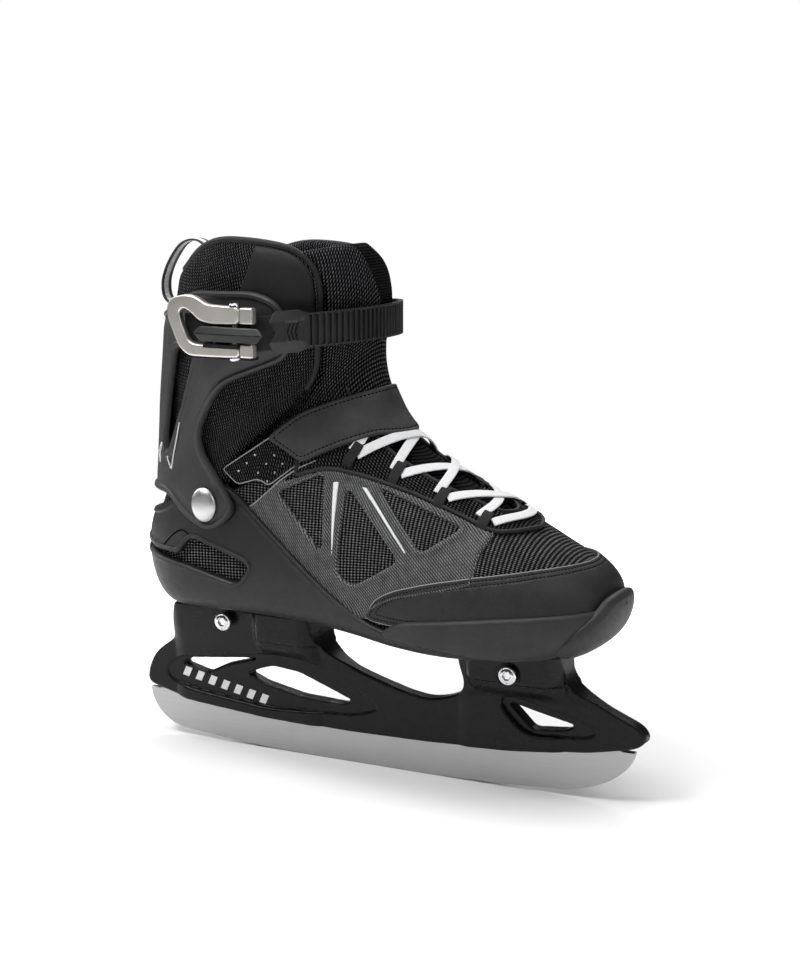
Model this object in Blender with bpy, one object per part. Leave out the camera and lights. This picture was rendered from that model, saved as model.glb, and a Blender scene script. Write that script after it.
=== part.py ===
"""A recreational ice skate for the right foot: steel runner, moulded blade holder, plastic boot shell with
a soft laced upper, and a hinged cuff with a ratchet buckle. Metres, +Z up, +X towards the toe, +Y to the
inner (medial) side. The origin is the middle of the runner's flat stretch, on the ice."""

import math

import bmesh
import bpy
import numpy as np
from mathutils import Matrix, Vector

MM = 0.001

# Driving dimensions, in millimetres.
RUNNER_THICKNESS = 3.9
HOLDER_HALF = 6.5  # half thickness of the holder's lower beam
TOWER_HALF = 18.0  # half width of the two towers at their tops
LUG_HALF = 11.5  # half width of the shell lugs that sit in the towers
GAP = 0.35  # assembly gap between touching pieces
PIVOT = (-78.0, 149.0)  # ankle hinge of the cuff, x and z
REAR_BOLT = (-84.0, 76.5)
FRONT_BOLT = (92.0, 67.5)
BOLT_R = 2.5
UPPER_WALL = 4.0
COLLAR_WALL = 9.0
SHELL_SKIN = (0.5, 3.5)  # inner and outer offset of the boot shell from the last's surface
CUFF_SKIN = (4.8, 7.8)
GUSSET_SKIN = (-6.0, -0.4)
PANEL_SKIN = (0.4, 1.5)
GUARD_SKIN = (0.5, 2.4)
RAND_SKIN = (0.5, 4.6)
BUMPER_SKIN = (2.9, 7.2)
INSTEP_STRAP_SKIN = (2.6, 4.6)
LADDER_WIDTH = 18.0
LADDER_Z = 243.4  # height of the ladder strap's centre at the buckle
LADDER_SLOPE = math.tan(math.radians(4.6))  # it climbs towards the shin
BUCKLE_PIN_X = -44.0
PAWL_PIN_X = -57.0
PIN_Y = -65.5
STOP_PIN_Y = -64.2
STRAP_HINGE = (2.6, -29.0, 200.8)

# Stations of the last, toe to collar: the instep point (x, z), the sole or heel point (x, z), half width,
# where along that line it is widest, the fullness of the upper and lower parts, and the sideways shift.
STATIONS = [
    ((141.6, 114.0), (141.6, 103.0), 12.0, 0.50, 2.2, 2.4, 3.6),
    ((137.0, 122.5), (137.0, 94.0), 23.5, 0.55, 2.2, 2.6, 3.6),
    ((126.5, 130.5), (127.5, 87.0), 33.5, 0.60, 2.2, 2.8, 3.6),
    ((111.0, 138.5), (112.0, 82.5), 41.0, 0.64, 2.2, 3.2, 3.2),
    ((92.0, 149.0), (92.0, 79.5), 46.0, 0.68, 2.1, 3.6, 2.5),
    ((66.0, 162.0), (62.0, 78.5), 47.5, 0.69, 2.0, 3.8, 1.0),
    ((44.0, 174.5), (34.0, 80.0), 46.0, 0.69, 1.9, 3.8, 0.0),
    ((28.0, 186.0), (6.0, 83.5), 43.5, 0.67, 1.9, 3.8, 0.0),
    ((17.0, 198.0), (-24.0, 86.0), 41.0, 0.64, 1.9, 3.8, 0.0),
    ((11.0, 209.0), (-60.0, 87.0), 39.0, 0.62, 2.0, 4.0, 0.0),
    ((8.0, 218.0), (-96.0, 86.5), 37.5, 0.60, 2.0, 4.0, 0.0),
    ((6.5, 225.5), (-121.0, 88.0), 37.0, 0.58, 2.0, 3.4, 0.0),
    ((6.0, 232.0), (-135.0, 102.0), 37.0, 0.56, 2.0, 2.7, 0.0),
    ((6.0, 238.0), (-138.0, 123.0), 37.5, 0.54, 2.1, 2.4, 0.0),
    ((6.5, 244.0), (-129.0, 150.0), 39.0, 0.52, 2.2, 2.3, 0.0),
    ((7.0, 250.0), (-127.0, 175.0), 41.0, 0.50, 2.3, 2.3, 0.0),
    ((7.0, 257.0), (-124.0, 200.0), 43.5, 0.50, 2.3, 2.3, 0.0),
    ((7.0, 264.0), (-121.0, 224.0), 45.5, 0.50, 2.3, 2.3, 0.0),
    ((6.0, 273.0), (-118.0, 248.0), 47.0, 0.50, 2.3, 2.3, 0.0),
    ((4.0, 282.0), (-115.0, 270.0), 47.5, 0.50, 2.3, 2.3, 0.0),
    ((1.0, 290.0), (-113.0, 286.0), 47.0, 0.50, 2.3, 2.3, 0.0),
]
AROUND = 22  # points round each station

# Side outlines, x and z in millimetres.
RUNNER_TOP = [(158, 31), (133, 25.5), (87, 20.5), (39, 18), (-12, 17), (-64, 18), (-118, 22), (-145, 28)]
TANG_RISE = 8.0
SHELL_EDGE = [
    (150, 78), (118, 80), (72, 84), (43, 88), (22, 94), (2, 105), (-18, 120), (-51, 147),
    (-63, 158), (-78, 163), (-93, 157), (-112, 142), (-150, 136),
]
HEEL_WINDOW = [(-108, 117), (-93, 129), (-54, 114), (-62, 102)]
CUFF_OUTLINE = [
    (-80, 134), (-70, 136), (-60, 146), (-62, 152), (-79, 178), (-81, 189), (-71, 206), (-62, 216),
    (-50, 221), (-27, 230), (-23, 236), (-24, 256), (-29, 263), (-40, 267), (-80, 266), (-108, 252),
    (-150, 246), (-150, 152), (-112, 152), (-104, 152), (-94, 142),
]
CUFF_OPENING = [(-117, 232), (-98, 230), (-105, 196), (-111, 172), (-114, 196)]
PANEL_OUTLINE = [
    (-40, 151), (-18, 125), (2, 110), (20, 99), (24, 109), (33, 114), (53, 121), (83, 127), (87, 135),
    (98, 144), (92, 152), (60, 172), (34, 190), (20, 204), (-4, 196), (-30, 166),
]
PANEL_WINDOWS = [
    [(-16, 160), (5, 170), (3, 130), (-4, 131)],
    [(22, 164), (31, 158), (50, 136), (22, 126), (12, 131)],
    [(35, 162), (76, 145), (56, 135)],
]
GUARD_OUTLINE = [(20, 96), (23, 101), (28, 108.5), (38.7, 114), (58.7, 119.7), (83, 124.6), (111, 128.6),
                 (126, 130), (140, 130), (175, 134), (175, 60), (100, 92), (40, 94)]
RAND_OUTLINE = [(28, 88), (36, 93.5), (45, 98), (95, 104.5), (124, 107), (141, 108), (175, 112), (175, 60),
                (120, 79), (72, 83)]
BUMPER_OUTLINE = [(122, 84), (132, 95.5), (142.5, 107.5), (145, 113.5), (147.5, 116.5), (175, 120), (175, 60),
                  (124, 74)]
INSTEP_STRAP_OUTLINE = [(-46, 184), (-26, 198), (0, 209), (14, 213), (40, 221), (46, 204), (20, 193), (-6, 182),
                        (-26, 170), (-39, 160)]
STRAP_FOLD = [(9.5, 188.0), (-5.0, 215.0)]  # where the strap's closing end folds back, on the outer side
STRAP_PATCH_OUTLINE = [(-68, 174), (-50, 181), (-34, 179), (-34, 160), (-50, 155), (-58, 157)]
UPPER_TOP = [(-160, 155), (-90, 151), (-70, 153), (-40, 172), (0, 200), (30, 216), (60, 230)]
COLLAR_BOTTOM = [(-160, 167), (-100, 163), (-76, 172), (-58, 201), (-40, 218), (10, 241), (60, 262)]
THROAT = [(88, 0), (84, 9), (60, 15), (30, 18), (0, 19), (-30, 19)]  # half outline seen from above, x and y
LACE_ROWS = [(4.3, 20.5), (5.2, 28.0), (6.5, 36.0), (7.9, 44.0)]  # station and angle of each pair of loops, toe first
LACE_R = 1.3

MATERIALS = {
    "steel": ((0.62, 0.62, 0.64), 0.28, 1.0),
    "bright_steel": ((0.75, 0.75, 0.76), 0.15, 1.0),
    "holder_plastic": ((0.015, 0.015, 0.016), 0.45, 0.0),
    "shell_plastic": ((0.030, 0.030, 0.032), 0.50, 0.0),
    "cuff_plastic": ((0.035, 0.035, 0.037), 0.55, 0.0),
    "rubber": ((0.045, 0.045, 0.047), 0.65, 0.0),
    "leatherette": ((0.035, 0.035, 0.037), 0.60, 0.0),
    "mesh_fabric": ((0.020, 0.020, 0.022), 0.85, 0.0),
    "padding": ((0.022, 0.022, 0.024), 0.90, 0.0),
    "lace_white": ((0.85, 0.85, 0.85), 0.80, 0.0),
    "webbing": ((0.05, 0.05, 0.05), 0.85, 0.0),
    "lever_alloy": ((0.55, 0.53, 0.50), 0.35, 1.0),
    "strap_plastic": ((0.05, 0.05, 0.052), 0.45, 0.0),
}


# Scene and object helpers.

def clear_scene():
    for obj in list(bpy.data.objects):
        bpy.data.objects.remove(obj)


def material(name):
    found = bpy.data.materials.get(name)
    if found:
        return found
    colour, roughness, metallic = MATERIALS[name]
    made = bpy.data.materials.new(name)
    made.use_nodes = True
    shader = made.node_tree.nodes["Principled BSDF"]
    shader.inputs["Base Color"].default_value = (*colour, 1.0)
    shader.inputs["Roughness"].default_value = roughness
    shader.inputs["Metallic"].default_value = metallic
    return made


def add_object(name, bm, finish, smooth=False):
    """Turns a bmesh in millimetres into a named object in metres."""
    bmesh.ops.recalc_face_normals(bm, faces=bm.faces)
    bm.transform(Matrix.Scale(MM, 4))
    mesh = bpy.data.meshes.new(name)
    bm.to_mesh(mesh)
    bm.free()
    if smooth:
        mesh.shade_smooth()
        mesh.set_sharp_from_angle(angle=math.radians(35))
    obj = bpy.data.objects.new(name, mesh)
    bpy.context.scene.collection.objects.link(obj)
    if finish:
        mesh.materials.append(material(finish))
    return obj


def helper(name, bm):
    """A cutter or guide: left out of renders and of the part."""
    obj = add_object(name, bm, None)
    obj.hide_render = True
    obj.display_type = "WIRE"
    return obj


def combine(obj, other, operation="DIFFERENCE"):
    modifier = obj.modifiers.new(operation.lower(), "BOOLEAN")
    modifier.operation = operation
    modifier.solver = "EXACT"
    modifier.object = other
    return obj


def place_origin(obj, x, y, z):
    """Moves the object's origin onto its joint without moving the mesh."""
    at = Vector((x, y, z)) * MM
    obj.data.transform(Matrix.Translation(-at))
    obj.location = at


# Solid makers. Each returns a bmesh in millimetres.

def prism_bm(outline, low, high, plane="XZ"):
    """A closed outline extruded across its plane, from low to high."""
    def point(a, b, h):
        return (a, h, b) if plane == "XZ" else (a, b, h)

    bm = bmesh.new()
    bottom = [bm.verts.new(point(a, b, low)) for a, b in outline]
    top = [bm.verts.new(point(a, b, high)) for a, b in outline]
    count = len(outline)
    caps = [bm.faces.new(bottom), bm.faces.new(top)]
    for i in range(count):
        j = (i + 1) % count
        bm.faces.new((bottom[i], bottom[j], top[j], top[i]))
    bm.normal_update()
    bmesh.ops.triangulate(bm, faces=caps)
    return bm


def box_bm(low, high):
    (x0, y0, z0), (x1, y1, z1) = low, high
    return prism_bm([(x0, z0), (x1, z0), (x1, z1), (x0, z1)], y0, y1)


def turned_bm(profile, axis, centre, steps=20):
    """A profile of (radius, height) pairs, spun about an axis through centre. It is closed, or ends on the axis."""
    bm = bmesh.new()
    spun = [bm.verts.new((r, 0, h)) for r, h in profile]
    edges = [bm.edges.new(pair) for pair in zip(spun, spun[1:])]
    if profile[0][0] or profile[-1][0]:
        edges.append(bm.edges.new((spun[-1], spun[0])))
    bmesh.ops.spin(bm, geom=spun + edges, cent=(0, 0, 0), axis=(0, 0, 1), angle=math.tau, steps=steps,
                   use_merge=True)
    bmesh.ops.remove_doubles(bm, verts=bm.verts, dist=1e-5)
    turn = {"Z": Matrix.Identity(4), "Y": Matrix.Rotation(-math.pi / 2, 4, "X"),
            "-Y": Matrix.Rotation(math.pi / 2, 4, "X")}[axis]
    bm.transform(Matrix.Translation(Vector(centre)) @ turn)
    return bm


def sweep_bm(sections):
    """Skins a list of closed sections with equal point counts and caps both ends."""
    bm = bmesh.new()
    rows = [[bm.verts.new(p) for p in section] for section in sections]
    count = len(rows[0])
    for a, b in zip(rows, rows[1:]):
        for i in range(count):
            j = (i + 1) % count
            bm.faces.new((a[i], a[j], b[j], b[i]))
    bm.faces.new(rows[0])
    bm.faces.new(rows[-1])
    bm.normal_update()
    bmesh.ops.triangulate(bm, faces=bm.faces)
    return bm


# The last: the surface that every layer of the boot is offset from.

def station_point(station, angle):
    """A point of the last: angle 0 is the instep, pi the sole or heel, and 0..pi the outer side."""
    (ux, uz), (lx, lz), half, widest, upper_n, lower_n, shift = station
    along = (1 - math.cos(angle)) / 2
    if along < widest:
        fullness, share = upper_n, (widest - along) / widest
    else:
        fullness, share = lower_n, (along - widest) / (1 - widest)
    side = half * max(0.0, 1 - share**fullness) ** (1 / fullness)
    y = shift - math.copysign(side, math.sin(angle))
    return (ux + (lx - ux) * along, y, uz + (lz - uz) * along)


def last_grid():
    angles = [math.tau * (k + 0.5) / AROUND for k in range(AROUND)]
    return np.array([[station_point(s, a) for a in angles] for s in STATIONS])


LAST = last_grid()


def last_normals():
    along = np.gradient(LAST, axis=0)
    around = np.roll(LAST, -1, axis=1) - np.roll(LAST, 1, axis=1)
    normal = np.cross(along, around)
    normal /= np.linalg.norm(normal, axis=2, keepdims=True)
    inward = (LAST.mean(axis=1, keepdims=True) - LAST)
    flip = np.sign((normal * inward).sum(axis=2, keepdims=True))
    return -normal * flip


NORMALS = last_normals()


def offset_rings(offset, first=0, final=None):
    return (LAST + NORMALS * offset)[first:final]


def skin_bm(inner, outer, first=0, final=None):
    """The layer between two offsets of the last. It is open at its last station, and at its first unless
    that is the toe."""
    bm = bmesh.new()
    out = [[bm.verts.new(p) for p in row] for row in offset_rings(outer, first, final)]
    inn = [[bm.verts.new(p) for p in row] for row in offset_rings(inner, first, final)]

    def strips(a, b, flip):
        for i in range(AROUND):
            j = (i + 1) % AROUND
            quad = (a[i], a[j], b[j], b[i])
            bm.faces.new(quad[::-1] if flip else quad)

    for rows, flip in ((out, False), (inn, True)):
        for a, b in zip(rows, rows[1:]):
            strips(a, b, flip)
    strips(out[-1], inn[-1], False)
    if first:
        strips(inn[0], out[0], False)
    else:
        bm.faces.new(out[0])
        bm.faces.new(inn[0][::-1])
    bm.normal_update()
    bmesh.ops.triangulate(bm, faces=bm.faces)
    return bm


def solid_last_bm(offset, first=0, final=None):
    return sweep_bm([list(map(tuple, row)) for row in offset_rings(offset, first, final)])


def layer(name, finish, skin, outline, y_low=-90.0, y_high=90.0, first=0, final=None):
    """A layer of the boot, trimmed to a side outline."""
    obj = add_object(name, skin_bm(*skin, first=first, final=final), finish, smooth=True)
    trim = helper("trim_" + name, prism_bm(outline, y_low, y_high))
    return combine(obj, trim, "INTERSECT")


def above(polyline, top=400.0):
    """The side outline of everything above a polyline."""
    return [*polyline, (polyline[-1][0], top), (polyline[0][0], top)]


def below(polyline, bottom=40.0):
    return [*polyline, (polyline[-1][0], bottom), (polyline[0][0], bottom)]


# Blade assembly.

def runner_outline():
    """The runner's visible outline: flat in the middle, long rocker arcs, rounded ends."""
    flat, rocker = 34.0, 850.0
    front = [(x, (x - flat) ** 2 / (2 * rocker)) for x in (34, 60, 85, 105)]
    nose = [(105 + 53 * math.sin(a), 3.0 + 27 * (1 - math.cos(a))) for a in (0.45, 0.85, 1.2, 1.5)]
    heel = [(-118 - 27 * math.sin(a), 4.2 + 24 * (1 - math.cos(a))) for a in (1.5, 1.15, 0.8, 0.4)]
    rear = [(x, (x + flat) ** 2 / (2 * rocker)) for x in (-118, -90, -62, -34)]
    return front + nose, heel + rear


def make_runner():
    front, rear = runner_outline()
    top_inset = [(x * 0.93, z + TANG_RISE) for x, z in RUNNER_TOP[1:-1]]
    outline = front + RUNNER_TOP[:1] + [(140, 27.2)] + top_inset + [(-128, 24.2)] + RUNNER_TOP[-1:] + rear
    half = RUNNER_THICKNESS / 2
    return add_object("runner_blade", prism_bm(outline, -half, half), "steel")


HOLDER_OUTLINE = [
    (161, 32.6), (169, 39), (166, 47), (135, 59), (127, 66), (122.6, 73), (59.4, 73), (63, 57), (58, 49.5),
    (49, 46), (38, 44), (24, 46), (6, 51), (-7, 55), (-20, 61), (-30, 70), (-32.6, 79), (-119.6, 79),
    (-124, 67), (-124, 59),
    (-141, 47), (-145, 38), (-146, 29.5), (-118, 23), (-64, 19), (-12, 18), (39, 19), (87, 21.5), (133, 26.5),
]
HOLDER_WINDOWS = [
    [(-128, 42), (-118, 50), (-62, 55), (-88, 46), (-102, 37)],
    [(-82, 43), (-72, 49), (-55, 54), (-44, 54), (-10, 40), (-6, 35), (-10, 31.5), (-30, 31), (-50, 33), (-72, 38)],
    [(80, 51), (122, 45), (125, 38), (96, 35)],
]
REAR_TOWER = {"x": (-122.0, -31.0), "foot": (-112.0, -44.0), "z": (50.0, 63.0), "top": (82.0, 81.6),
              "slot": (-116.0, -54.0)}
FRONT_TOWER = {"x": (56.0, 125.0), "foot": (66.0, 118.0), "z": (50.0, 60.0), "top": (73.6, 78.2),
               "slot": (70.0, 116.0)}


def tower_bm(tower):
    """A tower: narrow at the beam, flaring to its full width under the sole."""
    (x0, x1), (f0, f1), (z0, z1) = tower["x"], tower["foot"], tower["z"]

    def section(a, b, half, za, zb):
        corner, side = 8.0, half * 0.55
        plan = [(a + corner, -half), (b - corner, -half), (b, -side), (b, side),
                (b - corner, half), (a + corner, half), (a, side), (a, -side)]
        return [(x, y, za + (zb - za) * (x - a) / (b - a)) for x, y in plan]

    return sweep_bm([section(f0, f1, HOLDER_HALF - 0.5, z0, z0), section(x0, x1, TOWER_HALF * 0.86, z1, z1),
                     section(x0, x1, TOWER_HALF, *tower["top"])])


def slot_bm(tower):
    """The pocket in a tower's top that takes the shell's lug."""
    x0, x1 = tower["slot"]
    half = LUG_HALF + GAP
    return box_bm((x0, -half, min(tower["top"]) - 12.0), (x1, half, max(tower["top"]) + 5))


def bolt_hole_bm(at, reach=30.0):
    r = BOLT_R + 0.3
    return turned_bm([(0, -reach), (r, -reach), (r, reach), (0, reach)], "Y", (at[0], 0, at[1]), 16)


def make_holder():
    holder = add_object("blade_holder", prism_bm(HOLDER_OUTLINE, -HOLDER_HALF, HOLDER_HALF), "holder_plastic")
    for name, tower in (("rear", REAR_TOWER), ("front", FRONT_TOWER)):
        combine(holder, helper(name + "_tower_form", tower_bm(tower)), "UNION")
        combine(holder, helper(name + "_tower_slot", slot_bm(tower)))
    for i, outline in enumerate(HOLDER_WINDOWS):
        combine(holder, helper(f"holder_window_{i + 1}", prism_bm(outline, -30, 30)))
    groove_top = [(x * 0.94, z + TANG_RISE + GAP) for x, z in RUNNER_TOP]
    front_end = [(175, 10), (161, 31.5 + GAP), (145, 28.5 + GAP)]
    groove = [*front_end, *groove_top[1:-1], (-132, 25.5 + GAP), (-150, 28.7 + GAP), (-150, 10)]
    half = RUNNER_THICKNESS / 2 + GAP
    combine(holder, helper("runner_groove", prism_bm(groove, -half, half)))
    for name, at in (("rear", REAR_BOLT), ("front", FRONT_BOLT)):
        combine(holder, helper(name + "_bolt_hole", bolt_hole_bm(at)))
    return holder


def make_bolts():
    """Two cross bolts with cap nuts hold the shell's lugs in the towers."""
    head_r, head_h, seat = 5.1, 2.6, TOWER_HALF + GAP
    for name, (x, z) in (("rear", REAR_BOLT), ("front", FRONT_BOLT)):
        head = [(0, seat + head_h), (head_r - 1.2, seat + head_h), (head_r, seat + head_h - 0.9), (head_r, seat)]
        shank = [(BOLT_R, seat), (BOLT_R, -seat - 1.2), (0, -seat - 1.2)]
        bolt = turned_bm(head + shank, "-Y", (x, 0, z), 18)
        add_object(name + "_tower_bolt", bolt, "bright_steel", smooth=True)
        bore = BOLT_R + 0.3
        nut = [(bore, seat), (head_r, seat), (head_r, seat + head_h - 0.9), (head_r - 1.2, seat + head_h),
               (0, seat + head_h), (0, seat + 1.5), (bore, seat + 1.5)]
        add_object(name + "_tower_nut", turned_bm(nut, "Y", (x, 0, z), 18), "bright_steel", smooth=True)


# Boot.

def make_shell():
    """The hard lower boot: a tray with a heel cup, ankle ears and two lugs for the holder."""
    shell = layer("boot_shell", "shell_plastic", SHELL_SKIN, below(SHELL_EDGE), first=1)
    for name, tower, sole in (("rear", REAR_TOWER, 84.5), ("front", FRONT_TOWER, 79.0)):
        x0, x1 = tower["slot"]
        lug = box_bm((x0 + GAP, -LUG_HALF, min(tower["top"]) - 11.6), (x1 - GAP, LUG_HALF, sole))
        combine(shell, helper(name + "_lug_form", lug), "UNION")
    combine(shell, helper("heel_window_form", prism_bm(HEEL_WINDOW, -90, 90)))
    for name, at in (("rear", REAR_BOLT), ("front", FRONT_BOLT)):
        combine(shell, helper(name + "_lug_hole", bolt_hole_bm(at, 14.0)))
    combine(shell, helper("shell_pivot_hole", pivot_hole_bm(4.3)))
    return shell


def pivot_hole_bm(radius):
    return turned_bm([(0, -70), (radius, -70), (radius, 70), (0, 70)], "Y", (PIVOT[0], 0, PIVOT[1]), 16)


def mirrored(half_outline):
    """A full outline from its half, mirrored in Y, for outlines whose first point is on the middle line."""
    return half_outline + [(x, -y) for x, y in reversed(half_outline[1:])]


def grown(outline, by):
    return [(x + (by if x > 80 else 0), y * (1 + by / abs(y)) if y else 0) for x, y in outline]


def make_upper():
    upper = add_object("boot_upper", skin_bm(-UPPER_WALL, 0.0, 0, 15), "mesh_fabric", smooth=True)
    combine(upper, helper("upper_top_trim", prism_bm(above(UPPER_TOP), -90, 90)))
    combine(upper, helper("throat_trim", prism_bm(mirrored(THROAT), 120, 260, "XY")))
    return upper


def make_tongue():
    """The tongue in two solids: one held by the boot and one that tilts with the collar."""
    lower = add_object("tongue_lower", skin_bm(-UPPER_WALL, 0.8, 3, 13), "padding", smooth=True)
    slot = mirrored(grown(THROAT, -0.6))
    combine(lower, helper("tongue_slot", prism_bm(slot, 120, 260, "XY")), "INTERSECT")
    combine(lower, helper("tongue_lower_trim", prism_bm(above(UPPER_TOP), -90, 90)))
    upper = add_object("tongue_upper", skin_bm(-COLLAR_WALL, 1.0, 12), "padding", smooth=True)
    front = [(40, -20), (40, 20), (-22, 20), (-22, -20)]
    combine(upper, helper("tongue_front", prism_bm(front, 150, 330, "XY")), "INTERSECT")
    combine(upper, helper("tongue_upper_trim", prism_bm(below(COLLAR_BOTTOM, 60), -90, 90)))
    return lower, upper


def make_collar():
    collar = add_object("ankle_collar", skin_bm(-COLLAR_WALL, 0.0, 12), "padding", smooth=True)
    combine(collar, helper("collar_trim", prism_bm(below(COLLAR_BOTTOM, 60), -90, 90)))
    front = [(60, -20.8), (60, 20.8), (-25, 20.8), (-25, -20.8)]
    combine(collar, helper("collar_front_slot", prism_bm(front, 150, 330, "XY")))
    return collar


def make_gusset():
    """The soft padded zone that joins the boot to the collar and folds when the cuff flexes."""
    outline = [(x, z + GAP) for x, z in UPPER_TOP] + [(x, z - GAP) for x, z in reversed(COLLAR_BOTTOM)]
    return layer("ankle_gusset", "mesh_fabric", GUSSET_SKIN, outline, first=8, final=17)


def make_insole():
    insole = add_object("insole", solid_last_bm(-UPPER_WALL - 0.5, 1, 12), "padding", smooth=True)
    top = [(136, 96), (92, 88), (62, 87), (34, 88.5), (6, 92), (-24, 94.5), (-60, 96), (-96, 97), (-122, 103)]
    combine(insole, helper("insole_top", prism_bm([*top, (-170, 103), (-170, 40), (170, 40), (170, 96)], -90, 90)),
            "INTERSECT")
    return insole


def make_overlays():
    for side, low, high in (("outer", -90.0, -4.0), ("inner", 4.0, 90.0)):
        panel = layer("side_panel_" + side, "leatherette", PANEL_SKIN, PANEL_OUTLINE, low, high, 2, 15)
        for i, outline in enumerate(PANEL_WINDOWS):
            combine(panel, helper(f"panel_window_{side}_{i + 1}", prism_bm(outline, low, high)))
        combine(panel, helper("panel_throat_" + side, prism_bm(mirrored(grown(THROAT, 0.6)), 120, 260, "XY")))
        layer("strap_patch_" + side, "leatherette", PANEL_SKIN, STRAP_PATCH_OUTLINE, low, high, 6, 16)
    guard = layer("toe_guard", "leatherette", GUARD_SKIN, GUARD_OUTLINE, first=0, final=9)
    rand_room = helper("rand_room", skin_bm(RAND_SKIN[0] - GAP, RAND_SKIN[1] + 3, 0, 10))
    combine(rand_room, helper("rand_room_trim", prism_bm(RAND_OUTLINE, -95, 95)), "INTERSECT")
    shell_room = helper("shell_room", skin_bm(0.0, SHELL_SKIN[1] + GAP, 0, 13))
    combine(shell_room, helper("shell_room_trim", prism_bm(below(
        [(x, z + GAP) for x, z in SHELL_EDGE]), -95, 95)), "INTERSECT")
    rand = layer("sole_rand", "rubber", RAND_SKIN, [(x, z - GAP) for x, z in RAND_OUTLINE], final=9)
    bumper = layer("toe_bumper", "rubber", BUMPER_SKIN, BUMPER_OUTLINE, final=6)
    bumper_room = helper("bumper_room", skin_bm(BUMPER_SKIN[0] - GAP, BUMPER_SKIN[1] + 4, 0, 7))
    grown_bumper = [(x - 0.5, z + 0.5) for x, z in BUMPER_OUTLINE]
    combine(bumper_room, helper("bumper_room_trim", prism_bm(grown_bumper, -95, 95)), "INTERSECT")
    combine(guard, rand_room)
    combine(guard, shell_room)
    combine(rand, shell_room)
    combine(rand, bumper_room)
    combine(bumper, shell_room)
    return guard, rand, bumper


def make_instep_strap():
    """The strap over the instep in two solids: the sewn length, and the closing end that peels off its patch."""
    (x0, z0), (x1, z1) = STRAP_FOLD
    for name, shift in (("instep_strap", 0.0), ("instep_strap_end", -1.5 * GAP)):
        strap = layer(name, "leatherette", INSTEP_STRAP_SKIN, INSTEP_STRAP_OUTLINE, first=4, final=16)
        low_x, high_x = x0 + 5 + shift, x1 - 5 + shift
        behind = [(low_x, z0 - 9), (high_x, z1 + 9), (-90, z1 + 9), (-90, z0 - 60), (low_x, z0 - 60)]
        operation = "DIFFERENCE" if name == "instep_strap" else "INTERSECT"
        combine(strap, helper(name + "_fold", prism_bm(behind, -90, -3)), operation)
    place_origin(strap, *STRAP_HINGE)


# Lace and its loops.

def over_last(station, degrees, lift):
    """A point over the boot: a station number, an angle from the instep and a height off the surface."""
    rings = offset_rings(lift)
    column = math.radians(degrees) * AROUND / math.tau - 0.5
    i, k = int(station), math.floor(column)
    u, v = station - i, column - k

    def on_ring(ring):
        return ring[k % AROUND] * (1 - v) + ring[(k + 1) % AROUND] * v

    return Vector(on_ring(rings[i]) * (1 - u) + on_ring(rings[i + 1]) * u)


def lace_strand(side, lifts):
    """One half of the lace, from its instep loop to its toe loop, changing sides after every row."""
    points = []
    rows = LACE_ROWS[::-1]
    for k, (station, angle) in enumerate(rows):
        points += [over_last(station + ds, side * (angle - inset), 3.0) for ds, inset in
                   ((0.2, 1.6), (0, 0), (-0.2, 1.6))]
        if k + 1 < len(rows):
            ahead, ahead_angle = rows[k + 1]
            low = min(lifts[k], 4.6)
            points += [over_last(station + (ahead - station) * 0.3, side * angle * 0.5, low),
                       over_last((station + ahead) / 2, 0, lifts[k]),
                       over_last(station + (ahead - station) * 0.7, -side * ahead_angle * 0.5, low)]
            side = -side
    return points, side


def lace_points():
    """One lace: down one side from the instep, across at the toe and back up the other."""
    first, side = lace_strand(1, (4.2, 8.2, 4.2))
    second, _ = lace_strand(-1, (8.2, 4.2, 8.2))
    station, angle = LACE_ROWS[0]
    toe = [over_last(station - 0.35, side * angle * share, 3.6) for share in (0.6, 0, -0.6)]
    return first + toe + second[::-1]


def smooth_path(points, per_span=3):
    """Catmull-Rom through the points."""
    found = []
    count = len(points)
    for i in range(count - 1):
        p0, p1 = points[max(i - 1, 0)], points[i]
        p2, p3 = points[i + 1], points[min(i + 2, count - 1)]
        for k in range(per_span):
            t = k / per_span
            found.append(0.5 * ((2 * p1) + (p2 - p0) * t + (2 * p0 - 5 * p1 + 4 * p2 - p3) * t**2
                                + (3 * p1 - p0 - 3 * p2 + p3) * t**3))
    return found + [points[-1]]


def make_lace():
    curve = bpy.data.curves.new("shoe_lace", "CURVE")
    curve.dimensions = "3D"
    curve.bevel_depth = LACE_R * MM
    curve.bevel_resolution = 1
    curve.use_fill_caps = True
    points = smooth_path(lace_points())
    spline = curve.splines.new("POLY")
    spline.points.add(len(points) - 1)
    for target, p in zip(spline.points, points):
        target.co = (*(p * MM), 1.0)
    curve.materials.append(material("lace_white"))
    obj = bpy.data.objects.new("shoe_lace", curve)
    bpy.context.scene.collection.objects.link(obj)
    return obj


def make_lace_loops():
    """A webbing arch over the lace at each row, outer and inner."""
    wide, wall, room, top, foot, lift = 3.4, 0.8, 2.6, 1.8, -1.1, 3.0
    arch = [(-room - wall, foot), (-room - wall, top + wall), (room + wall, top + wall),
            (room + wall, foot), (room, foot), (room, top), (-room, top), (-room, foot)]
    for k, (station, angle) in enumerate(LACE_ROWS):
        for side, name in ((1, "outer"), (-1, "inner")):
            centre = over_last(station, side * angle, lift)
            along = (over_last(station - 0.1, side * angle, lift) - centre).normalized()
            across = over_last(station, side * angle + 3, lift) - over_last(station, side * angle - 3, lift)
            up = across.cross(along).normalized()
            across = along.cross(up)
            sections = [[centre + along * step + across * a + up * b for a, b in arch]
                        for step in (-wide / 2, wide / 2)]
            add_object(f"lace_loop_{k + 1}_{name}", sweep_bm(sections), "webbing")


# Cuff.

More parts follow.
